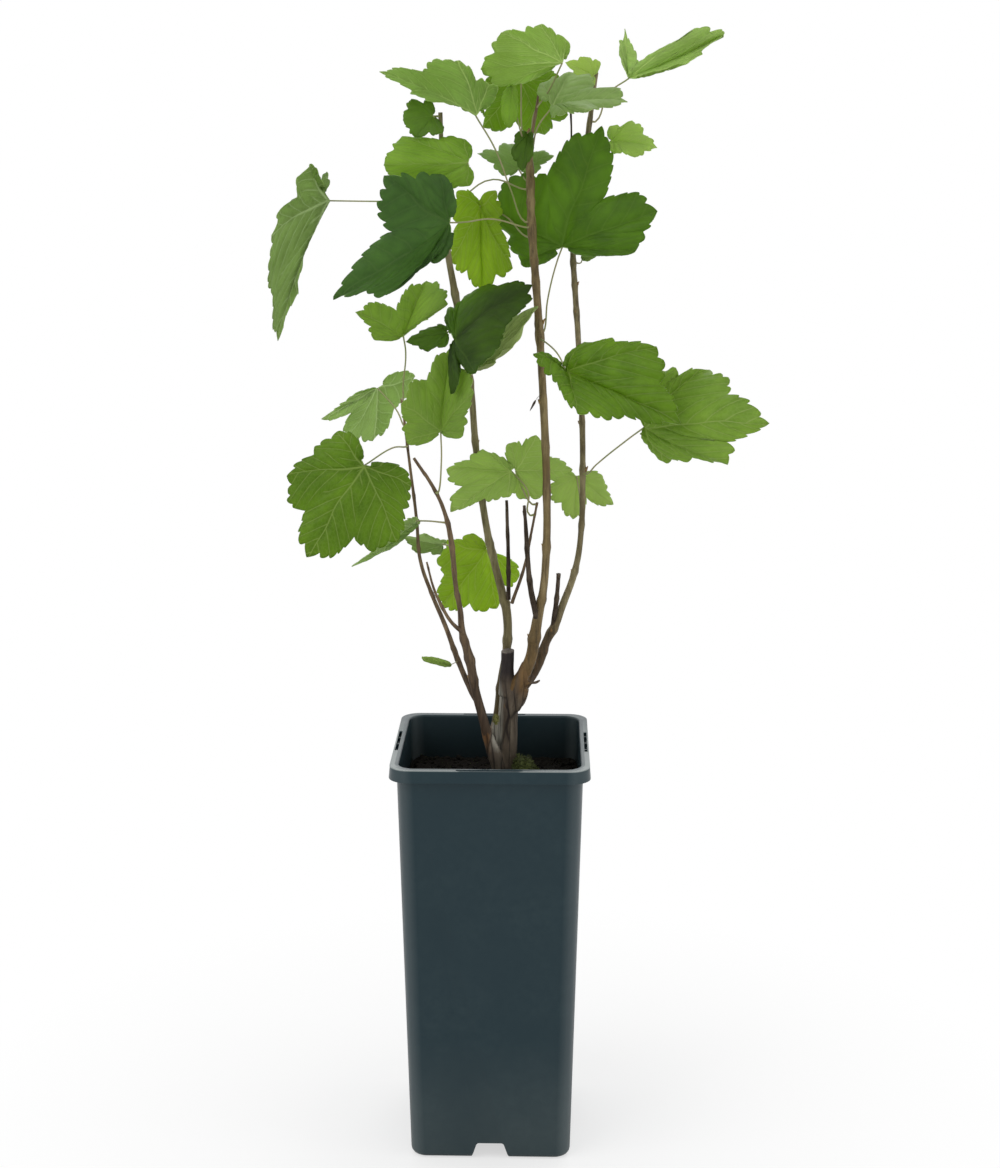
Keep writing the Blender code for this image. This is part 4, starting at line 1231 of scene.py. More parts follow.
UPPER_TWIG = [(20, 14, 560, 1.0), (22, 17, 572, 0.8), (24, 18, 584, 0.8), (24.5, 18, 590, 0.4)]
BARE_TWIG = [(47, 37, 540, 0.7), (43, 40, 556, 0.5), (42.5, 40, 572, 0.5), (42, 40, 582, 0.7)]
SMALL_BITS = {
    "stem_centre": dried_scale() + bare_twig(UPPER_TWIG, red_bark),
    "stem_right": bare_twig(BARE_TWIG, dead_bark),
}
for name, points in STEMS.items():
    if name == "trunk":
        continue
    stem = tube(name + "_dressed", points, sides=16, resolution=10)
    heights = [row[0] for row in NODES[name]]
    heights += [leaf["height"] for leaf in LEAVES.values() if leaf["stem"] == name]
    swell_nodes(stem, name, heights)
    roughen(stem, 0.16 if name in DEAD else 0.07, 1.8, 10)
    paint(stem, BARKS[name])
    buds = strew(make_bud(), bud_matrices(name))
    paint(buds, dead_bark if name in DEAD else bud_scales)
    stem = join([stem, buds, *SMALL_BITS.get(name, [])])
    smooth(stem, 60)
    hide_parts(name)
    "dead_wood" if name in DEAD else "young_bark"
    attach(stem, "root")
    print(name, len(stem.data.polygons), "faces,", len(heights), "nodes")

# %% [markdown]
# ## The trunk
# The trunk and its collars, where the stems break out of the old wood, are one continuous body. Tubes
# that merely cross would show hard creases there. So short thick tubes are joined and remeshed into one
# skin, which is smoothed and then gets the deep grain of old bark.

# %% Trunk, stub and collars
SKIN = 0.42  # how fine the one skin is
FOOT = [(7, 0, 190, 8.2), (7, 0, 206, 7.6)]  # under the soil the trunk is a little thicker
SAW_PLACE, SAW_SLANT = (9, -3, 287.7), (-0.06, -0.12, 1)  # the stub was cut off here, at a slant
COLLARS = [
    [(6, -3, 214, 4.8), (2, -6, 227, 4.1), (-2, -7, 239, 3.2), (-4, -8, 246, 2.4)],
    [(3, 5, 222, 3.2), (1, 9, 235, 2.7), (3, 11, 247, 2.1)],
    [(9, -1, 248, 4.8), (12, -3, 261, 4.6), (17, -5, 273, 3.8), (20, -5, 281, 3.2)],
    [(9, 3, 250, 3.6), (16, 5, 262, 3.3), (23, 7, 272, 2.8)],
    [(13, -4, 254, 2.6), (17, -6, 261, 2.6), (19, -6, 267, 2.2)],
    [(17, -6, 268, 1.6), (21, -6, 270, 1.2), (24, -6, 270, 0.85), (27, -6, 271.5, 0.5)],
    [(9, -1, 262, 5.4), (8.6, -2, 270, 4.4), (8.8, -3, 278, 3.7), (9, -3, 292, 3.5)],
]
trunk_parts = [tube("trunk_part", [*FOOT, *STEMS["trunk"][2:]], 20, 8)]
trunk_parts += [tube("collar", points, 16, 6) for points in COLLARS]
trunk = join(trunk_parts)
trunk.name = trunk.data.name = "trunk_dressed"
skin = trunk.modifiers.new("one_skin", "REMESH")
skin.mode, skin.voxel_size = "VOXEL", SKIN * MM
even = trunk.modifiers.new("even", "SMOOTH")
even.factor, even.iterations = 0.6, 8
apply_modifiers(trunk)
roughen(trunk, 0.32, 2.6, 15)
pick(trunk, "FACE", lambda middle, face: middle.z > SAW_PLACE[2] - 3.7)
saw_cut = [part * MM for part in SAW_PLACE]
bpy.ops.mesh.bisect(plane_co=saw_cut, plane_no=SAW_SLANT, use_fill=True, clear_outer=True)
done()
paint(trunk, old_bark)
smooth(trunk, 50)
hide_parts("trunk")
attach(trunk, "root")
print("trunk faces:", len(trunk.data.polygons))

# %% [markdown]
# ## Leaf finishes
# A currant leaf is darker and a little glossy above, paler and matt below, and light shines through it.
# Young leaves are yellow-green, old ones deep green, and some have a greyish bloom. One function makes
# the upper side from a tone, and another the underside. A share of translucent light is mixed in, which a
# plain surface shader can't give. Leaves of one tone still differ, so each mesh carries its own
# brightness, vein strength and paleness as an attribute. Its brightness and paleness hold painted light
# and shade as well as the leaf's own colour.

# %% Leaf materials
THROUGH = 0.45  # the share of light that shines through a blade
# Each tone: the upper side's deep and light colours, its veins, and the underside
TONES = {
    "dark": (rgb(42, 66, 16), rgb(70, 102, 18), rgb(98, 128, 48), rgb(96, 126, 70)),
    "blue": (rgb(44, 72, 34), rgb(60, 90, 38), rgb(92, 120, 66), rgb(108, 134, 84)),
    "mid": (rgb(74, 107, 14), rgb(98, 131, 24), rgb(146, 168, 84), rgb(116, 144, 78)),
    "light": (rgb(98, 134, 38), rgb(122, 153, 54), rgb(164, 184, 104), rgb(126, 152, 82)),
    "yellow": (rgb(104, 138, 20), rgb(130, 159, 34), rgb(164, 182, 84), rgb(136, 162, 64)),
    "grey": (rgb(96, 130, 58), rgb(122, 150, 82), rgb(158, 180, 118), rgb(126, 150, 92)),
    "pale": (rgb(92, 124, 52), rgb(118, 146, 78), rgb(156, 180, 116), rgb(120, 146, 80)),
}


def leaf_side(name, deep, light, vein, roughness, shine, bump, glow, rib):
    """glow and rib are the colours of light that shines through the blade and through its veins."""
    scaled = {"operation": "SCALE"}
    paleness_and_glow = rgb(168, 180, 120)
    material, tree, shader = new_material(name)
    veins = place_group(VEINS, UV=add_node(tree, "ShaderNodeUVMap")[0])
    soft = place_group(PATCHES, Vector=object_place(tree), Scale=46.0)
    colour = blend(soft["Broad"], tinted(deep, 0.82), tinted(light, 1.16))
    colour = blend(fade(veins["Along"], 0.35, 1.0) * 0.35, colour, light)
    given = add_node(tree, "ShaderNodeAttribute", {"attribute_name": "look"})["Vector"]
    look = axes(given)
    # painted shade beside the veins
    colour = blend(veins["ValleyShade"] * 0.42, colour, tinted(deep, 0.55))
    colour = blend(veins["Net"] * (look[1] * 0.22), colour, vein)
    colour = blend(veins["Veins"] * look[1], colour, vein)
    # each leaf's brightness: partly its age, partly painted light and shade
    colour = add_node(tree, "ShaderNodeVectorMath", scaled, i0=colour, Scale=look[0])[0]
    # paleness: partly a young leaf's own colour, partly painted glow of light from behind
    colour = blend(look[2], colour, paleness_and_glow)
    rough = fade(soft["Fine"], 0.0, 1.0, roughness - 0.06, roughness + 0.08)
    feed(shader, Base_Color=colour, Roughness=rough, Specular_IOR_Level=shine)
    normal = add_bump(shader, veins["Height"], bump, 0.35)
    # painted shade beside the veins also dims the light that shines through
    clear = blend(veins["ValleyShade"] * 0.4, glow, tinted(glow, 0.72))
    clear = blend(veins["Veins"] * (look[1] * 0.7), clear, rib)
    # the same brightness and paleness, painted light and shade included, for the light that shines through
    clear = add_node(tree, "ShaderNodeVectorMath", scaled, i0=clear, Scale=look[0])[0]
    clear = blend(look[2], clear, paleness_and_glow)
    behind = add_node(tree, "ShaderNodeBsdfTranslucent", Color=clear, Normal=normal)[0]
    front = Wire(tree, shader.outputs[0])
    mixed = add_node(tree, "ShaderNodeMixShader", i0=THROUGH, i1=front, i2=behind)
    feed(tree.nodes["Material Output"], Surface=mixed[0])
    return material


def upper_material(tone):
    deep, light, vein, under = TONES[tone]
    name = "leaf_above_" + tone
    glow = tinted(light, 1.7)
    return bpy.data.materials.get(name) or leaf_side(name, deep, light, vein, 0.5, 0.25, -0.6, glow, vein)


def under_material(tone):
    deep, light, vein, under = TONES[tone]
    name = "leaf_below_" + tone
    pale, vein = tinted(under, 1.25), tinted(vein, 1.35, 0.1)
    glow, rib = (0.8, 0.9, 0.5, 1), (0.86, 0.95, 0.66, 1)
    return bpy.data.materials.get(name) or leaf_side(name, under, pale, vein, 0.7, 0.2, 0.5, glow, rib)


stalk_colours = ((124, 138, 76), (148, 146, 104), (142, 112, 86))
stalk_material = patchy("leaf_stalk", 60.0, stalk_colours, 0.3, 0.5, 0.65)[0]
print("tones:", list(TONES))

# %% [markdown]
# ## No two leaves alike
# Age makes each leaf a little brighter or darker than its tone, and so do painted light and shade: a leaf
# that faces the light or glows with light from behind is painted brighter, a shaded one darker. The veins
# stand out more on some than on others. Some young leaves are pale, as if bleached, and the paleness also
# holds painted glow from light behind them. Small ones have shallower teeth. These are read off leaf by leaf.

# %% Brightness, vein strength, paleness and depth of the teeth
# the first number is each leaf's brightness, partly age and partly painted light and shade; the third, its
# paleness, partly painted glow
LOOKS = {
    "leaf_crown_left": (1.15, 1.0, 0.02, 1.0), "leaf_crown_top": (1.18, 0.9, 0.02, 0.9),
    "leaf_crown_right": (1.15, 1.0, 0.2, 0.9), "leaf_crown_small": (1.72, 0.7, 0.5, 0.3),
    "leaf_top_right": (1.36, 0.9, 0.2, 0.8), "leaf_upper_right_small": (1.66, 0.9, 0.42, 0.7),
    "leaf_upper_right": (1.35, 0.4, 0.02, 0.9), "leaf_crown_front": (1.3, 0.5, 0.04, 0.3),
    "leaf_crown_back": (1.0, 0.8, 0, 0.8), "leaf_crown_lower": (1.15, 0.8, 0, 0.7),
    "leaf_left_top": (1.55, 0.7, 0.1, 0.6), "leaf_upper_left_folded": (1.15, 0.6, 0, 0.7),
    "leaf_upper_left": (1.35, 0.3, 0.01, 1.0), "leaf_far_left": (0.92, 0.9, 0, 0.9),
    "leaf_upper_hanging": (1.12, 0.8, 0, 0.9), "leaf_mid_left": (1.0, 0.5, 0, 0.9),
    # the last five numbers are painted light and shade, lobe by lobe, across the leaf's folded halves
    "leaf_middle": (0.63, 0.4, 0, 0.6, (2.3, 2.1, 0.95, 1.7, 1.5)),
    "leaf_middle_small": (1.2, 0.5, 0.02, 0.5),
    "leaf_middle_front": (1.36, 0.6, 0.24, 0.8), "leaf_left_pale": (1.08, 1.0, 0.04, 0.9),
    "leaf_lower_left": (1.02, 0.95, 0, 1.1), "leaf_lower_left_narrow": (1.1, 0.9, 0.1, 0.6),
    "leaf_lower_left_pale": (1.1, 0.9, 0.1, 0.6),
    # the last five numbers are painted light and shade, lobe by lobe
    "leaf_lower_middle": (1.12, 0.9, 0, 0.9, (1.1, 1.1, 1, 0.95, 0.9)),
    "leaf_centre_left": (1.42, 1.0, 0.36, 0.9), "leaf_centre_right": (1.42, 1.0, 0.4, 0.9),
    "leaf_right_back": (1.5, 0.9, 0.5, 0.9), "leaf_right": (1.1, 0.6, 0, 1.0),
    "leaf_far_right": (1.0, 0.9, 0.04, 1.0), "leaf_base_left": (1.35, 0.2, 0.4, 0.0),
    "leaf_bud_right": (1.0, 0.5, 0.1, 0.5),
}
print("looks for", len(LOOKS), "leaves")

# %% [markdown]
# ## The outline of a blade
# Between two lobe tips the margin runs in a shallow curve with a notch in its middle. Below the base
# lobes it rounds back to the stalk, which gives the heart shape. One function gives the margin for any
# leaf, and also for a flat pattern leaf. Where a blade's point lies on that pattern is kept as its UV, so
# that veins can be drawn once for all.

# %% Margin, teeth and pattern leaf
LOBE_PLACES = (-0.78, -0.4, 0, 0.4, 0.78)
SECTIONS = (-1, -0.78, -0.59, -0.4, -0.2, 0, 0.2, 0.4, 0.59, 0.78, 1)
PLAIN_SINUS = (0.06, 0.16, 0.16, 0.06)
HEEL_TURN, HEEL_END = radians(28), 0.25
LOBE_ROUND = 0.8  # how far a lobe's flanks swell out
CLEFT = 0.07  # how deep the narrow cleft between two lobes is
NOTCH = 1.6  # how narrow the notch between two lobes is; under 1 it is wide and leaves slender lobes
TOOTH_LENGTH, TOOTH_GROWTH = 2.4, 0.062  # on a tiny leaf, and how much it grows with a leaf's length
TOOTH_DEPTH = 0.34  # as a share of its length
TOOTH_SHAPE = (0.3, 0.0, 0.03, 0.12, 0.28, 0.55, 1.0)  # from just past a notch, over the tip, to the next
STEPS = len(TOOTH_SHAPE)  # columns of faces across one tooth
SHOULDER_REACH, BASE_REACH = 0.86, 0.62
PATTERN = [
    Vector((reach * sin(radians(angle)), reach * cos(radians(angle)), 0))
    for angle, reach in (
        (-BASE_ANGLE, BASE_REACH), (-SHOULDER_ANGLE, SHOULDER_REACH), (0, 1),
        (SHOULDER_ANGLE, SHOULDER_REACH), (BASE_ANGLE, BASE_REACH),
    )
]


def shape_of(leaf):
    """All that the margin depends on, from the lobe tips to how wide a plain oval leaf is."""
    junction = Vector(leaf["junction"])
    lobes = [Vector(tip) - junction for tip in leaf["lobes"]]
    sinus, heel = leaf.get("sinus", PLAIN_SINUS), leaf.get("heel", (1, 1))
    return lobes, sinus, heel, leaf.get("round", LOBE_ROUND), leaf.get("notch", NOTCH), leaf.get("oval")


def margin_vector(shape, across):
    """From the junction to the margin. across runs from -1 at the left heel, by 0 at the tip, to 1."""
    lobes, sinus, heel, roundness, narrow, oval = shape
    if oval:
        turn = 0.96 * pi * across
        flank = (lobes[3] - lobes[3].project(lobes[2])).normalized()
        return lobes[2] * (1 + cos(turn)) / 2 + flank * oval * sin(turn)
    place = abs(across)
    side = 1 if across > 0 else -1
    base, shoulder = lobes[2 + 2 * side], lobes[2 + side]
    if place <= LOBE_PLACES[4]:
        inner = place <= LOBE_PLACES[3]
        start, end = (lobes[2], shoulder) if inner else (shoulder, base)
        low, high = (0, LOBE_PLACES[3]) if inner else LOBE_PLACES[3:]
        share = (place - low) / (high - low)
        notch = (1 - abs(2 * share - 1)) ** narrow
        depth = sinus[(2 if side > 0 else 1) if inner else (3 if side > 0 else 0)]
        straight = start.lerp(end, share)
        arc = min((start.length * (1 - share) + end.length * share) / straight.length - 1, 0.2)
        swell = 1 + roundness * arc * sin(2 * pi * share) ** 2
        cleft = 1 - CLEFT * 2.718 ** -(((share - 0.5) / 0.13) ** 2)
        return straight * (1 - depth * notch) * swell * cleft
    share = (place - LOBE_PLACES[4]) / (1 - LOBE_PLACES[4])
    turn = Matrix.Rotation(share * HEEL_TURN * heel[1 if side > 0 else 0], 3, shoulder.cross(base))
    return turn @ base * (HEEL_END + (1 - HEEL_END) * (1 - share**2) ** 0.75)


def upper_normal(lobes, across):
    left = lobes[2].cross(lobes[1]).normalized()
    right = lobes[3].cross(lobes[2]).normalized()
    return left.lerp(right, min(max(across / 0.3 + 0.5, 0), 1)).normalized()


def toothed_columns(shape, tooth, depth_share, chance):
    """Places across the blade with the share that the teeth cut off there; a tooth is about this long."""
    found = {}
    for start, end in zip(SECTIONS, SECTIONS[1:]):
        tip, far = (start, end) if start in LOBE_PLACES else (end, start)
        places = np.linspace(tip, far, 17)
        points = [margin_vector(shape, place) for place in places]
        lengths = np.cumsum([0] + [(b - a).length for a, b in zip(points, points[1:])])
        count = max(1, round(lengths[-1] / tooth))
        sizes = [chance.uniform(0.72, 1.28) for _ in range(count)]
        total = sum(sizes) - sizes[-1] / STEPS
        done = 0.0
        for number, size in enumerate(sizes):
            for step in range(STEPS):
                share = (done + size * step / STEPS) / total
                place = float(np.interp(share * lengths[-1], lengths, places))
                reach = margin_vector(shape, place).length
                bite = TOOTH_SHAPE[step] if number or step else 0
                depth = size * tooth * TOOTH_DEPTH * depth_share * bite
                found[round(place, 5)] = min(depth / reach, 0.3)
            done += size
    return sorted(found.items())


print("margin of", len(SECTIONS) - 1, "stretches")

# %% [markdown]
# ## The veins
# Five main veins run from the junction to the lobe tips, and side veins leave each of them at an angle,
# turn about, like the barbs of a feather. On a currant leaf the blade bulges up between them, so the
# surface looks quilted. The bulges are real relief, worked out from the same pattern that the vein
# material uses, so both agree.

# %% Quilting between the veins
def vein_distances(x, y):
    """Distance to the nearest main vein and to the nearest side vein, on the pattern leaf."""
    angle = np.arctan2(np.abs(x), y)
    to_shoulder, to_base = radians(SHOULDER_ANGLE), radians(BASE_ANGLE)
    inner = np.where(angle > to_shoulder / 2, to_shoulder, 0.0)
    nearest = np.where(angle > (to_shoulder + to_base) / 2, to_base, inner)
    reach = np.hypot(x, y)
    off = reach * np.sin(angle - nearest)
    along = reach * np.cos(angle - nearest)
    start = along - VEIN_SLOPE * np.abs(off) + (off > 0) * VEIN_SPACING / 2
    start = start + (x > 0) * VEIN_SPACING * VEIN_SHIFT
    share = start / VEIN_SPACING
    return np.abs(off), np.abs(share - np.round(share)) * VEIN_SPACING * VEIN_APART


def quilting(x, y):
    main, side = vein_distances(x, y)
    main_dip = 1 - np.exp(-((main / 0.035) ** 2))
    side_dip = 0.6 + 0.4 * (1 - np.exp(-((side / 0.022) ** 2)))
    crumple = np.sin(31 * x + 9 * np.sin(11 * y)) * np.sin(29 * y + 8 * np.sin(13 * x + 2))
    return main_dip * side_dip + 0.16 * crumple


print("side veins along one main vein:", int(1 / VEIN_SPACING))

# %% [markdown]
# ## One blade
# A blade starts as a flat grid. Its columns fan out from the junction, and its rows step from there to
# the margin. Bending a grid keeps even faces and an unbroken UV map, which sculpting from a cut-out
# outline would not. Then the quilting and some slow waves are added, and a Solidify modifier gives the
# blade its two sides.

# %% Build a blade
BLADE, MERGED = 0.4, 0.002  # its thickness, and how close its points may lie before they are merged
ROW_STEP, FEWEST_ROWS = 2.6, 9
QUILT = 0.017  # how high the blade bulges between its veins, as a share of its length
ARCH = 0.05  # how high it arches from the junction to the middle tip, as a share of that way
BROAD_WAVE, EDGE_WAVE = 0.018, 0.01  # how far it waves up and down, as shares of its length
FLAT_SHAPE = (PATTERN, (0.1, 0.18, 0.18, 0.1), (1, 1), LOBE_ROUND, NOTCH, None)


def warped(x, y, seed):
    """Slow waves in the pattern, so that no two leaves have quite the same veins."""
    bent_x = x + 0.016 * np.sin(6.5 * y + seed) + 0.007 * np.sin(15 * y + 2.3 * seed)
    bent_y = y + 0.014 * np.sin(7 * x + 1.7 * seed) + 0.006 * np.sin(17 * x + seed)
    return bent_x, bent_y


def blade_arrays(leaf, seed, depth_share):
    """Points and pattern places of a blade, each as rows by columns."""
    chance = random.Random(seed)
    shape = shape_of(leaf)
    lobes = shape[0]
    length = max(lobe.length for lobe in lobes)
    tooth = TOOTH_LENGTH + TOOTH_GROWTH * length
    columns = toothed_columns(shape, tooth, depth_share, chance)
    across = np.array([place for place, share in columns])
    cuts = np.array([share for place, share in columns])
    margin = np.array([margin_vector(shape, place) for place in across])
    normal = np.array([upper_normal(lobes, place) for place in across])
    flat = np.array([margin_vector(FLAT_SHAPE, place)[:2] for place in across])
    rows = max(FEWEST_ROWS, round(length / ROW_STEP))
    steps = np.linspace(0, 1, rows + 1)[:, None]
    along = steps * (1 - cuts * steps**5)
    openness = upper_normal(lobes, -1).dot(upper_normal(lobes, 1)) / 2 + 0.5
    rise = ARCH * lobes[2].length * openness * 4 * along * (1 - along)
    points = np.array(leaf["junction"]) + margin * along[..., None] + normal * rise[..., None]
    pattern_x, pattern_y = warped(flat[:, 0] * along, flat[:, 1] * along, seed)
    return points, normal, along, across, pattern_x, pattern_y, length


def blade_normals(points, guide):
    outward = np.gradient(points, axis=0)
    sideways = np.gradient(points, axis=1)
    found = np.cross(sideways, outward)
    size = np.linalg.norm(found, axis=2, keepdims=True)
    found = np.where(size > 1e-9, found / np.maximum(size, 1e-9), guide[None])
    flipped = np.sum(found * guide[None], axis=2, keepdims=True) < 0
    return np.where(flipped, -found, found)


def make_blade(name, leaf, seed, look):
    """look is a row of LOOKS: four numbers and, where it varies, the brightness of each lobe."""
    points, guide, along, across, pattern_x, pattern_y, length = blade_arrays(leaf, seed, look[3])
    facing = blade_normals(points, guide)
    facing[0] = guide
    relief = QUILT * length * quilting(pattern_x, pattern_y)
    relief = relief * np.clip(along * 3, 0, 1) * np.clip((1 - along) * 6, 0.25, 1)
    waves = BROAD_WAVE * length * along**2 * np.sin(13 * across + seed)
    waves = waves + EDGE_WAVE * length * along**3 * np.sin(37 * across + 2 * seed)
    points = points + facing * (relief + waves)[..., None]
    rows, columns = along.shape
    start_clean()
    bpy.ops.mesh.primitive_grid_add(
        x_subdivisions=columns - 1, y_subdivisions=rows - 1, size=1, calc_uvs=True
    )
    blade = bpy.context.object
    blade.name = blade.data.name = name
    places = np.empty(len(blade.data.vertices) * 3)
    blade.data.vertices.foreach_get("co", places)
    places = places.reshape(-1, 3) + 0.5
    column = np.round(places[:, 0] * (columns - 1)).astype(int)
    row = np.round(places[:, 1] * (rows - 1)).astype(int)
    blade.data.vertices.foreach_set("co", (points[row, column] * MM).ravel())
    own_look = blade.data.attributes.new("look", "FLOAT_VECTOR", "POINT")
    # per-lobe brightness, where a row has it, is painted light and shade across the blade
    shades = np.interp(across[column], LOBE_PLACES, look[4]) if len(look) > 4 else np.ones(len(column))
    level = np.ones(len(column))
    values = np.stack([look[0] * shades, look[1] * level, look[2] * level], axis=1)
    own_look.data.foreach_set("vector", values.ravel())
    uv = np.stack([pattern_x[row, column], pattern_y[row, column]], axis=1) * UV_SIZE + UV_MIDDLE
    corners = np.empty(len(blade.data.loops), int)
    blade.data.loops.foreach_get("vertex_index", corners)
    blade.data.uv_layers.active.data.foreach_set("uv", uv[corners].ravel())
    pick(blade, "VERT")
    bpy.ops.mesh.remove_doubles(threshold=MERGED * MM)
    done()
    middle_face = blade.data.polygons[len(blade.data.polygons) // 2]
    if np.dot(np.array(middle_face.normal), guide[columns // 2]) < 0:
        pick(blade, "FACE")
        bpy.ops.mesh.flip_normals()
        done()
    thicken = blade.modifiers.new("two_sides", "SOLIDIFY")
    thicken.thickness = BLADE * MM
    thicken.offset = 0
    thicken.material_offset = 1
    thicken.material_offset_rim = 1
    return blade


print("a blade is", BLADE, "mm thick")

# %% [markdown]
# ## The stalk
# Each leaf hangs on a thin round stalk that leaves the stem at a node, with a thickened foot. A bevelled
# curve through the row's points gives it, and is turned into a mesh so that it can be joined to its
# blade. One leaf has a half that folds back and shows its pale underside, and one has a young leaf beside
# it. Each is a second blade.

# %% Build a stalk
STALK, KNEE_OUT = 0.43, 2.3  # its radius, and how far from the stem it first bends


def stalk_points(leaf):
    junction = Vector(leaf["junction"])
    bends = [Vector(bend) for bend in leaf.get("bends", [])]
    centre, radius = stem_at(leaf["stem"], leaf["height"])
    outward = ([*bends, junction][0] - centre) * Vector((1, 1, 0))
    outward.normalize()
    foot, knee = centre + outward * radius * 0.6, centre + outward * (radius + KNEE_OUT)
    thin = leaf.get("stalk", STALK)
    thick = [1.5 * thin, 1.15 * thin] + [thin] * len(bends) + [thin]
    return [(*point, size) for point, size in zip([foot, knee, *bends, junction], thick)]


def add_stalk(name, leaf):
    stalk = tube(name + "_stalk", stalk_points(leaf), sides=10, resolution=6)
    paint(stalk, stalk_material)
    return stalk


for number, (name, leaf) in enumerate(LEAVES.items()):
    blades = [make_blade(name + "_blade", leaf, number + 1, LOOKS[name])]
    stalks = [add_stalk(name, leaf)]
    for extra in leaf.get("more", []):
        blades.append(make_blade(name + "_more", extra, number + 60, extra["look"]))
        if "stem" in extra:
            stalks.append(add_stalk(name, extra))
    for blade in blades:
        paint(blade, upper_material(leaf["tone"]), under_material(leaf["tone"]), stalk_material)
        apply_modifiers(blade)
    whole = join([*blades, *stalks])
    whole.name = whole.data.name = name + "_dressed"
    take(whole)
    bpy.ops.object.shade_smooth()
    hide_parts(name)
    "leaf_" + leaf["tone"]
    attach(whole, "root")
print(len(LEAVES), "leaves dressed, the last with", len(whole.data.polygons), "faces")

# %% [markdown]
# ## Moss
# A cushion of moss grows at the trunk's foot, and a tuft higher up in the fork. Moss is hundreds of tiny
# shoots, each a little star of leaves. One shoot of a few faces is modelled and strewn over a lumpy core,
# upright to its surface.

# %% Core and shoots
CUSHION, TUFT = (20, -5, 212), (2.6, -7.2, 249)  # their middles
CUSHION_SIZE, LEAN, TUFT_SIZE = (7.5, 7, 14), -3.5, (1.1, 1.1, 2.3)  # half sizes; its top leans to the trunk
LEAFLETS, LEAFLET_LONG, SHOOTS, TUFT_SHOOTS = 7, 0.62, 420, 70

start_clean()
bpy.ops.mesh.primitive_ico_sphere_add(subdivisions=4, radius=1)
core = bpy.context.object
core.name = core.data.name = "moss_dressed"
for vert in core.data.vertices:
    swell = 1 + wobble(vert.co * 10, 5, 0.3) + wobble(vert.co * 10, 2, 0.1)
    wide, deep, tall = [part * half for part, half in zip(vert.co, CUSHION_SIZE)]
    from_middle = Vector((wide + LEAN * max(vert.co.z, 0), deep, tall)) * swell
    vert.co = Vector(CUSHION) * MM + from_middle * MM


def open_cone(sides, foot, tip, height, middle):
    start_clean()
    bpy.ops.mesh.primitive_cone_add(
        vertices=sides, radius1=foot, radius2=tip, depth=height, location=(0, 0, middle),
        end_fill_type="NOTHING",
    )
    return bpy.context.object


def make_shoot():
    """Leaflets set round a short stalk in a spiral. A shoot is sized as it is placed."""
    shoot = open_cone(4, 0.13, 0.03, 0.7, 0.3)
    settle(shoot)
    pieces = [shoot]
    for number in range(LEAFLETS):
        leaflet = open_cone(3, 0.11, 0, LEAFLET_LONG, LEAFLET_LONG / 2)
        seat = Matrix.Translation((0, 0, 0.16 + 0.07 * number)) @ Matrix.Rotation(number * 2.4, 4, "Z")
        tilt = Matrix.Rotation(radians(62 - 6 * number), 4, "Y")
        leaflet.data.transform(seat @ tilt @ Matrix.Translation((0, 0, LEAFLET_LONG / 2)))
        leaflet.location = (0, 0, 0)
        pieces.append(leaflet)
    return join(pieces)


def shoot_matrix(place, facing, size, turn):
    seat = Matrix.Translation(place) @ turn_from_up(facing)
    return seat @ Matrix.Rotation(turn, 4, "Z") @ Matrix.Scale(size * MM, 4)


chance = random.Random(5)
core.data.update()
seats = []
tops = [vert for vert in core.data.vertices if vert.co.z > (SOIL_TOP - 1) * MM]
for vert in chance.sample(tops, min(SHOOTS, len(tops))):
    lean = Vector([chance.uniform(-0.35, 0.35) for _ in range(3)])
    facing = (vert.normal + lean + Vector((0, 0, 0.5))).normalized()
    size, turn = chance.uniform(1.5, 2.4), chance.uniform(0, 6)
    seats.append(shoot_matrix(vert.co - vert.normal * 0.4 * MM, facing, size, turn))
for _ in range(TUFT_SHOOTS):
    away = Vector([chance.gauss(0, 1) for _ in range(3)])
    away.normalize()
    place = Vector(TUFT) + Vector((away.x * 0.9, away.y * 0.9, away.z * 2.2))
    facing = (away + Vector((0, -0.3, 0.6))).normalized()
    size, turn = chance.uniform(1.0, 1.5), chance.uniform(0, 6)
    seats.append(shoot_matrix(place * MM, facing, size, turn))
shoots = strew(make_shoot(), seats)
start_clean()
bpy.ops.mesh.primitive_ico_sphere_add(subdivisions=3, radius=1, location=[part * MM for part in TUFT])
tuft = bpy.context.object
tuft.scale = [half * MM for half in TUFT_SIZE]
settle(tuft)
moss = join([core, shoots, tuft])


def moss_finish():
    """Green moss that is yellower higher up, on the tuft."""
    colours = ((44, 56, 20), (84, 98, 36), (62, 52, 30))
    material, shader, place, soft, colour = patchy("green_moss", 160.0, colours, 0.5, 0.75, 0.95)
    high_up = zone(axes(place)[2], 236, 240, 0.0, 0.7)
    feed(shader, Base_Color=blend(high_up, colour, rgb(138, 136, 74)))
    return material


paint(moss, moss_finish())
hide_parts("moss_clump")
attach(moss, "root")

# %% [markdown]
# ## Room, lamps and camera
# A plant in a catalogue stands in a white tent, lit softly from all sides. The world gives that even
# light. The backdrop is pure white to the camera alone, so it adds no light.

# %% White tent
scene = bpy.context.scene
scene.view_settings.view_transform = "Standard"

world = bpy.data.worlds.new("tent")
scene.world = world
world.use_nodes = True
tree = world.node_tree
tree.nodes.clear()
path = add_node(tree, "ShaderNodeLightPath")
seen = maths("MAXIMUM", path["Is Camera Ray"], path["Is Transmission Ray"])
seen = maths("MAXIMUM", seen, path["Is Glossy Ray"])
tent = add_node(tree, "ShaderNodeBackground", i0=(1, 1, 1, 1), i1=0.8)
backdrop = add_node(tree, "ShaderNodeBackground", i0=(1, 1, 1, 1), i1=1.0)
mixed = add_node(tree, "ShaderNodeMixShader", i0=seen, i1=tent[0], i2=backdrop[0])
add_node(tree, "ShaderNodeOutputWorld", i0=mixed[0])
print("world:", scene.world.name)

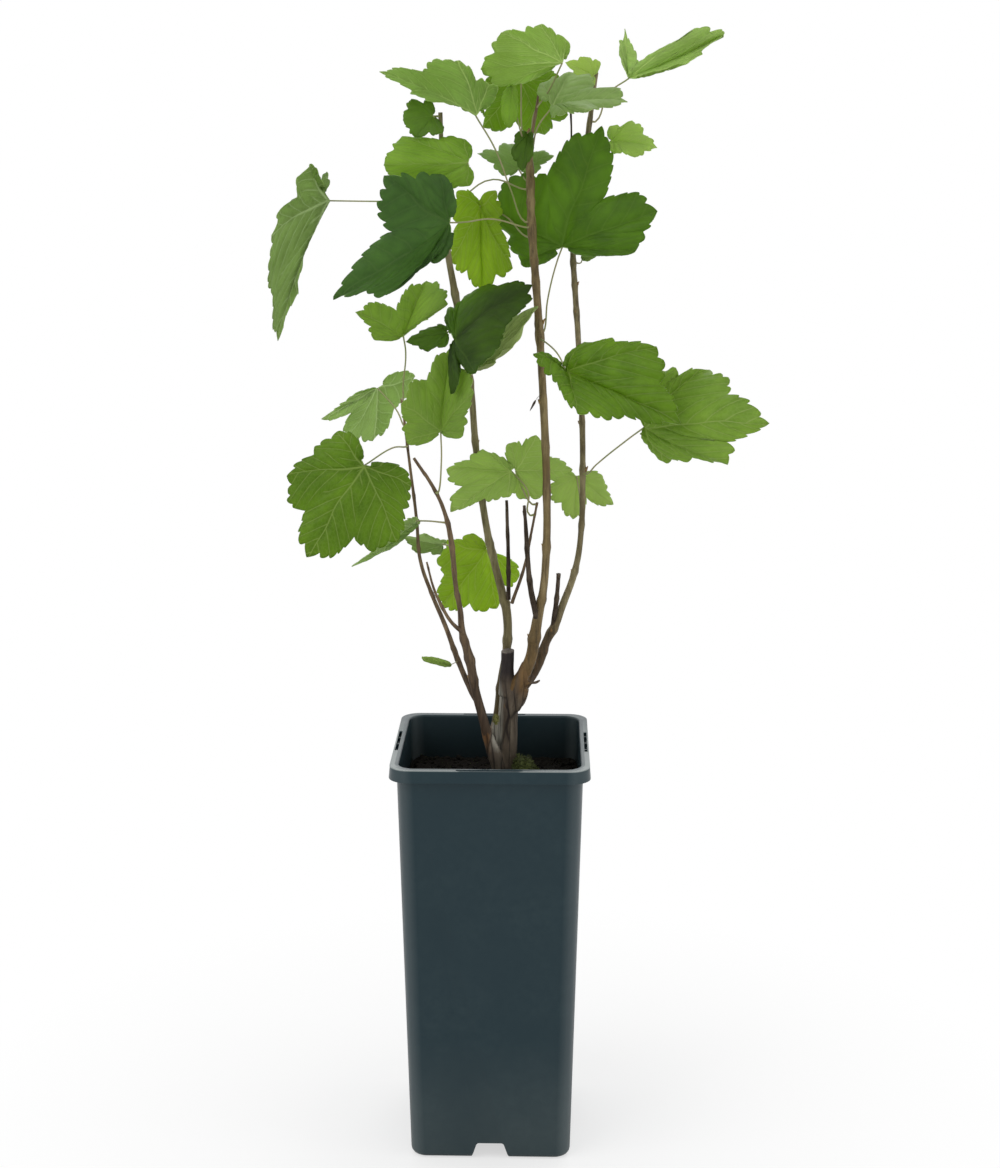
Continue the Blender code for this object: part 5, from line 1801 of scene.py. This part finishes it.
# %% [markdown]
# The floor is pale paper that keeps the plant's own soft shadow. Farther off it turns to plain white for
# the camera, so that no horizon shows.

# %% Paper floor
start_clean()
bpy.ops.mesh.primitive_plane_add(size=40, location=(0, 0, 0))
floor = bpy.context.object
floor.name = "floor"
settle(floor)
material, tree, shader = new_material("floor_paper")
feed(shader, Base_Color=(0.86, 0.86, 0.86, 1), Roughness=0.9, Specular_IOR_Level=0.1)
x, y, _ = axes(object_place(tree))
distance = maths("SQRT", x * x + y * y)
path = add_node(tree, "ShaderNodeLightPath")
far_off = zone(distance, 100, 340, 0.6, 1.0) * path["Is Camera Ray"]
white = add_node(tree, "ShaderNodeEmission", Color=(1, 1, 1, 1), Strength=1.0)
paper = Wire(tree, shader.outputs[0])
mixed = add_node(tree, "ShaderNodeMixShader", i0=far_off, i1=paper, i2=white[0])
feed(tree.nodes["Material Output"], Surface=mixed[0])
paint(floor, material)
print("floor:", floor.name)

# %% [markdown]
# Three large area lamps shape the tent's even light a little. The camera looks slightly down, from the
# height of the upper leaves. Both are placed in metres.

# %% Lamps and camera
AIM = (0, 0, 0.35)  # the lamps point at the middle of the leaves


def add_lamp(name, place, size, power):
    start_clean()
    bpy.ops.object.light_add(type="AREA", location=place)
    lamp = bpy.context.object
    lamp.name = name
    lamp.data.shape = "RECTANGLE"
    lamp.data.size, lamp.data.size_y = size
    lamp.data.energy = power
    aim = Vector(AIM) - Vector(place)
    lamp.rotation_euler = aim.to_track_quat("-Z", "Y").to_euler()


add_lamp("top_left", (-0.9, -0.7, 1.6), (1.0, 1.0), 7)
add_lamp("right", (1.3, -0.2, 0.9), (0.8, 1.4), 3)
add_lamp("back", (0.2, 1.3, 1.2), (1.4, 1.0), 6)

start_clean()
bpy.ops.object.camera_add(location=(0.0298, -1.034, 0.560), rotation=(radians(77.2), 0, radians(1.4)))
camera = bpy.context.object
camera.name = "camera"
camera.data.sensor_width, camera.data.lens = 36, 58.96
camera.data.clip_start = 0.01
scene.camera = camera
print("camera at", tuple(round(part, 3) for part in camera.location))
